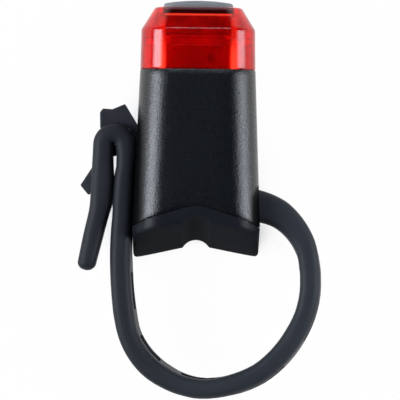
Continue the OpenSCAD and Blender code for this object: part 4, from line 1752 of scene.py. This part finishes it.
    def shell(self) -> tuple[Shell, set[frozenset[int]]]:
        """The strap with its slots.

        Returns:
            The mesh in the making, and the edges round its slots as pairs of points.
        """
        shell = Shell()
        rings = [shell.row(points) for points in self.root_sections()]
        first, stops, spans = len(rings), self.stops(), self.slots()
        rings += [shell.row(self.route_section(stop)) for stop in stops]
        rings += [shell.row(self.route_section(stops[-1], *tip)) for tip in self.tip]
        half_way = len(rings[0]) // 2
        rims: set[frozenset[int]] = set()
        for index, (ring, following) in enumerate(zip(rings, rings[1:])):
            here = index - first
            middle = 0.5 * (stops[here] + stops[here + 1]) if 0 <= here < len(stops) - 1 else -1.0
            slotted = any(low < middle < high for low, high in spans)
            for i in range(len(ring)):
                j = (i + 1) % len(ring)
                if not (slotted and i in (0, half_way)):
                    shell.faces.append((ring[i], ring[j], following[j], following[i]))
            if slotted:
                for outer, inner in ((0, half_way + 1), (1, half_way)):
                    shell.faces.append((ring[outer], following[outer], following[inner], ring[inner]))
                    rims |= {frozenset((ring[side], following[side])) for side in (outer, inner)}
        for place in (end for span in spans for end in span):
            ring = rings[first + min(range(len(stops)), key=lambda k: abs(stops[k] - place))]
            outer, inner = (ring[0], ring[1]), (ring[half_way], ring[half_way + 1])
            shell.faces.append(outer + inner)
            rims |= {frozenset(outer), frozenset(inner)}
        shell.cap(rings[0])
        shell.cap(rings[-1])
        return shell, rims

    def build(self) -> None:
        """Makes the strap and rounds its slots."""
        shell, rims = self.shell()
        marked = {
            frozenset(tuple(round(c, MATCH_DIGITS) for c in shell.points[i]) for i in pair)
            for pair in rims
        }

        def on_rim(edge: bmesh.types.BMEdge) -> bool:
            """Whether an edge bounds a slot."""
            ends = [tuple(round(c / MM, MATCH_DIGITS) for c in vert.co) for vert in edge.verts]
            return frozenset(ends) in marked

        thing = shell.made("ladder_strap", sharp=self.sharp, soften=self.slot_edge, choose=on_rim)
        settle(thing, Finishes.strap, ["strap_anchor_side", "strap_hook_side"], None)
        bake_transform(thing)


@dataclass
class StrapHook:
    """The hard hook on the left flank: plate, stem with its beak, and fluke.

    The points of the fluke, the web and the beak count from the middle of the strap's fold.
    """

    fold: Point2 = (-18.327, 19.081)
    fold_clear: float = 4.79
    under: Point2 = (131.3, 37.0)
    under_steps: int = 14
    face_x: float = -13.06
    seat_x: float = -12.1
    plate_y: Point2 = (15.47, 25.27)
    plate_half: float = 6.0
    stem_y: Point2 = (4.59, -0.6)
    stem_depth: float = 0.5
    fluke: tuple[Point2, ...] = ((5.32, 4.19), (2.3, 9.1), (-0.5, 7.9), (-2.6, 8.04), (-3.25, 7.15))
    web: tuple[Point2, ...] = ((0.42, -0.25), (0.32, 0.12), (0.02, 0.25), (-0.2, 0.1), (-0.26, -0.84))
    beak: tuple[Point2, ...] = ((-4.8, -4.93), (-7.4, -9.0), (-5.5, -11.3), (-2.6, -5.2), (-0.7, -2.75))
    half: float = 2.1
    edge: float = 0.32
    edge_above: float = 60.0
    fillet: float = 0.35
    fillet_share: float = 0.4
    fillet_below: float = 160.0
    fillet_steps: int = 4

    def outline(self) -> list[Point2]:
        """Outline of the stem, beak and fluke, relative to the middle of the fold.

        Returns:
            Points (x, y), in order.
        """
        root = self.face_x - self.fold[0] + self.stem_depth
        start, end = self.under
        shares = [step / self.under_steps for step in range(self.under_steps + 1)]
        turns = [math.radians(start - (start - end) * share) for share in shares]
        under = [(self.fold_clear * math.cos(a), self.fold_clear * math.sin(a)) for a in turns]
        high, low = ((root, y) for y in self.stem_y)
        return [high, *self.fluke, *under, *self.web, *self.beak, low]

    def rounded(self, outline: Sequence[Point2]) -> list[Point2]:
        """An outline with its sharp corners rounded.

        Args:
            outline: Points in order.

        Returns:
            The points, with a short curve at each sharp corner.
        """
        points = [Vector(point) for point in outline]
        result: list[Point2] = []
        for i, point in enumerate(points):
            back, on = points[i - 1] - point, points[(i + 1) % len(points)] - point
            angle = back.angle(on)
            if angle > math.radians(self.fillet_below):
                result.append(tuple(point))
                continue
            longest = self.fillet_share * min(back.length, on.length)
            cut = min(self.fillet / math.tan(angle / 2), longest)
            start, end = point + back.normalized() * cut, point + on.normalized() * cut
            for t in (step / self.fillet_steps for step in range(self.fillet_steps + 1)):
                result.append(tuple(start * (1 - t) ** 2 + point * (2 * t * (1 - t)) + end * t**2))
        return result

    def build(self) -> None:
        """Makes and dresses the hook."""
        shell = Shell()
        outline = [(x + self.fold[0], y + self.fold[1]) for x, y in self.rounded(self.outline())]
        shell.prism(outline, -self.half, self.half)
        low, high = self.plate_y
        shell.box((self.face_x, low, -self.plate_half), (self.seat_x, high, self.plate_half))
        limit = math.radians(self.edge_above)
        thing = shell.made(
            "strap_hook_form", soften=self.edge, choose=lambda edge: edge.calc_face_angle(0.0) > limit
        )
        settle(thing, Finishes.hook, ["strap_hook"], Body.LIGHT)


@dataclass
class PortFlap:
    """The rubber flap over the charging port, with its plug, hinge pins and pull."""

    half_width: float = 6.0
    hinge_y: float = 25.17
    hinge_edge: float = 0.5
    end_y: float = 33.27
    middle_z: float = -11.284
    thickness: float = 1.1
    plug: Point3 = (9.04, 3.36, 29.37)
    plug_height: float = 0.8
    pin: float = 1.1
    pin_reach: float = 7.2
    pin_steps: int = 24
    pull: Point3 = (3.2, 0.7, 0.26)
    pull_inset: float = 1.1
    pull_overlap: float = 0.2
    edge: float = 0.18

    def build(self) -> None:
        """Makes and dresses the flap."""
        shell = Shell()
        low, high = self.middle_z - self.thickness / 2, self.middle_z + self.thickness / 2
        back = self.hinge_y - self.hinge_edge
        shell.box((-self.half_width, back, low), (self.half_width, self.end_y, high))
        shell.prism(stadium(*self.plug), self.middle_z, high + self.plug_height)
        pin = circle((self.hinge_y, self.middle_z), self.pin, self.pin_steps)
        shell.solid([shell.row([(x, y, z) for y, z in pin]) for x in (-self.pin_reach, self.pin_reach)])
        pull_x, pull_y, pull_z = self.pull
        front = self.end_y - self.pull_inset
        shell.box((-pull_x, front - pull_y, low - pull_z), (pull_x, front, low + self.pull_overlap))
        settle(shell.made("port_flap", soften=self.edge), Finishes.seal, ["usb_flap"], Body.FLAP)


@dataclass
class InnerWorks:
    """The pieces inside, most of them as the solids are."""

    foam_crown: float = 0.35
    foam_corner: float = 1.2
    foam_corner_steps: int = 4
    foam_side_steps: int = 3
    foam_rows: int = 6
    foam_fill: float = 0.8

    def foam(self) -> None:
        """A foam block with crowned faces between the cell and the roof."""
        low, high = ([c / MM for c in corner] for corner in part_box("battery_foam"))
        x, y = (low[0] + high[0]) / 2, (low[1] + high[1]) / 2
        shell = Shell()
        rings = []
        for step in range(self.foam_rows + 1):
            share = step / self.foam_rows
            bulge = self.foam_crown * math.sin(math.pi * share) - self.foam_crown
            outline = rounded_outline(
                high[0] - low[0] + 2 * bulge, high[1] - low[1] + 2 * bulge, self.foam_corner,
                self.foam_corner_steps, self.foam_side_steps,
            )
            z = low[2] + (high[2] - low[2]) * share
            rings.append(shell.row([(x + a, y + b, z) for a, b in outline]))
        shell.solid(rings)
        thing = shell.made("cell_foam")
        settle(thing, Finishes.foam, ["battery_foam"], Body.LIGHT)

    def build(self, nodes: dict[str, bpy.types.Object]) -> None:
        """Dresses the solids that stay.

        Args:
            nodes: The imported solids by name.
        """
        self.foam()
        finishes = {
            "button_carrier": Finishes.white, "reflector": Finishes.white, "led_board": Finishes.board,
            "leds": Finishes.led, "switch_body": Finishes.inner, "switch_plunger": Finishes.white,
            "board_chips": Finishes.inner, "board_screws": Finishes.steel, "usb_socket": Finishes.steel,
            "usb_tongue": Finishes.inner, "battery_cell": Finishes.wrap, "battery_tray": Finishes.white,
            "lead_positive": Finishes.red_sleeve, "lead_negative": Finishes.black_sleeve,
            "battery_plug": Finishes.white, "strap_pin": Finishes.steel, "hook_screws": Finishes.steel,
        }
        for name, finish in finishes.items():
            for slot in nodes[name].material_slots:
                slot.material = finish.material()
            LOG.info("%s: %s", name, finish.name)


# Studio


class Softbox(Enum):
    """The softboxes.

    Each has its compass turn and its angle from straight above in degrees, its size and its
    power in watts.
    """

    LEFT = (180.0, 51.0, (400.0, 320.0), 3.7)
    RIGHT = (0.0, 62.0, (400.0, 320.0), 2.6)
    BACK = (90.0, 45.0, (130.0, 320.0), 0.55)


@dataclass
class Studio:
    """Floor, surroundings, softboxes and camera."""

    floor_z: float = -13.25
    floor_size: float = 6000.0
    floor_colour: Colour = (0.92, 0.92, 0.92, 1.0)
    floor_share: float = 0.98
    gap_reach: float = 20.0
    gap_light: Point2 = (0.2, 0.42)
    gap_samples: int = 12
    wall_light: float = 0.4
    wall_edge: Point2 = (0.05, 0.3)
    ceiling: Colour = (0.012, 0.013, 0.014, 1.0)
    aim: Point2 = (0.8, 7.1)
    roll: float = 0.66
    distance: float = 700.0
    field: float = 88.8
    sensor: float = 36.0
    sight: float = 50000.0
    box_distance: float = 600.0
    box_layers: tuple[float, ...] = (1.15, 1.0, 0.8, 0.6)
    box_colour: Point3 = (0.86, 0.92, 1.0)

    def floor(self) -> None:
        """A white floor that keeps a faint shadow."""
        half = self.floor_size / 2
        corners = ((-half, -half), (half, -half), (half, half), (-half, half))
        shell = Shell()
        shell.cap(shell.row([(x, y, self.floor_z) for x, y in corners]))
        thing = shell.made("studio_floor")
        material = bpy.data.materials.new("studio_floor")
        graph = Graph(material)
        glow = graph.out(graph.add("ShaderNodeEmission", None, {"Color": WHITE, "Strength": 1.0}))
        gaps = graph.add(
            "ShaderNodeAmbientOcclusion", {"samples": self.gap_samples}, {"Distance": self.gap_reach * MM}
        )
        share = graph.seen() * self.floor_share * graph.out(gaps, "AO").ramp(*self.gap_light)
        graph.surface(graph.mixed(share, graph.matt(self.floor_colour), glow))
        thing.data.materials.append(material)

    def surroundings(self) -> None:
        """White walls round the studio under a dim ceiling."""
        world = bpy.data.worlds.new("studio_walls")
        bpy.context.scene.world = world
        graph = Graph(world)
        up = graph.part(graph.coordinates("Generated"), "Z")
        shade = graph.blend(up.ramp(*self.wall_edge), WHITE, self.ceiling)
        light = self.wall_light + (1.0 - self.wall_light) * graph.seen()
        sky = graph.add("ShaderNodeBackground", None, {"Color": shade, "Strength": light})
        graph.surface(graph.out(sky), "ShaderNodeOutputWorld")

    def softbox(self, side: Softbox) -> None:
        """A softbox that faces the light from one side, in layers that make its edges soft.

        Args:
            side: Which softbox.
        """
        compass, tilt, (width, length), watts = side.value
        compass, tilt = math.radians(compass), math.radians(tilt)
        for index, layer in enumerate(self.box_layers):
            lamp = bpy.data.lights.new(f"softbox_{side.name.lower()}_{index}", "AREA")
            lamp.shape = "RECTANGLE"
            lamp.size, lamp.size_y = layer * width * MM, length * MM
            lamp.energy = watts / len(self.box_layers)
            lamp.color = self.box_colour
            holder = bpy.data.objects.new(lamp.name, lamp)
            far = (self.box_distance + index) * MM
            level = far * math.sin(tilt)
            holder.location = (
                level * math.cos(compass), self.aim[1] * MM + level * math.sin(compass), far * math.cos(tilt),
            )
            holder.rotation_euler = (0.0, tilt, compass)
            bpy.context.scene.collection.objects.link(holder)

    def camera(self) -> None:
        """The camera straight above, with a long lens."""
        data = bpy.data.cameras.new("plan_camera")
        data.sensor_width = self.sensor
        data.lens = self.sensor * self.distance / self.field
        data.clip_end = self.sight * MM
        holder = bpy.data.objects.new("plan_camera", data)
        holder.location = (self.aim[0] * MM, self.aim[1] * MM, self.distance * MM)
        holder.rotation_euler = (0.0, 0.0, math.radians(self.roll))
        bpy.context.scene.collection.objects.link(holder)
        bpy.context.scene.camera = holder

    def build(self) -> None:
        """Sets up the studio."""
        self.camera()
        self.floor()
        self.surroundings()
        for side in Softbox:
            self.softbox(side)
        bpy.context.scene.view_settings.view_transform = "Standard"


def main() -> None:
    """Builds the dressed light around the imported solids."""
    logging.basicConfig(level=logging.INFO, format="%(message)s")
    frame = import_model()
    Studio().build()
    form = BodyForm()
    Housing(form).build()
    Lens(form).build()
    PowerButton().build()
    SaddlePad(form).build()
    LadderStrap(form).build()
    StrapHook().build()
    PortFlap().build()
    InnerWorks().build(frame["nodes"])


if __name__ == "__main__":
    main()
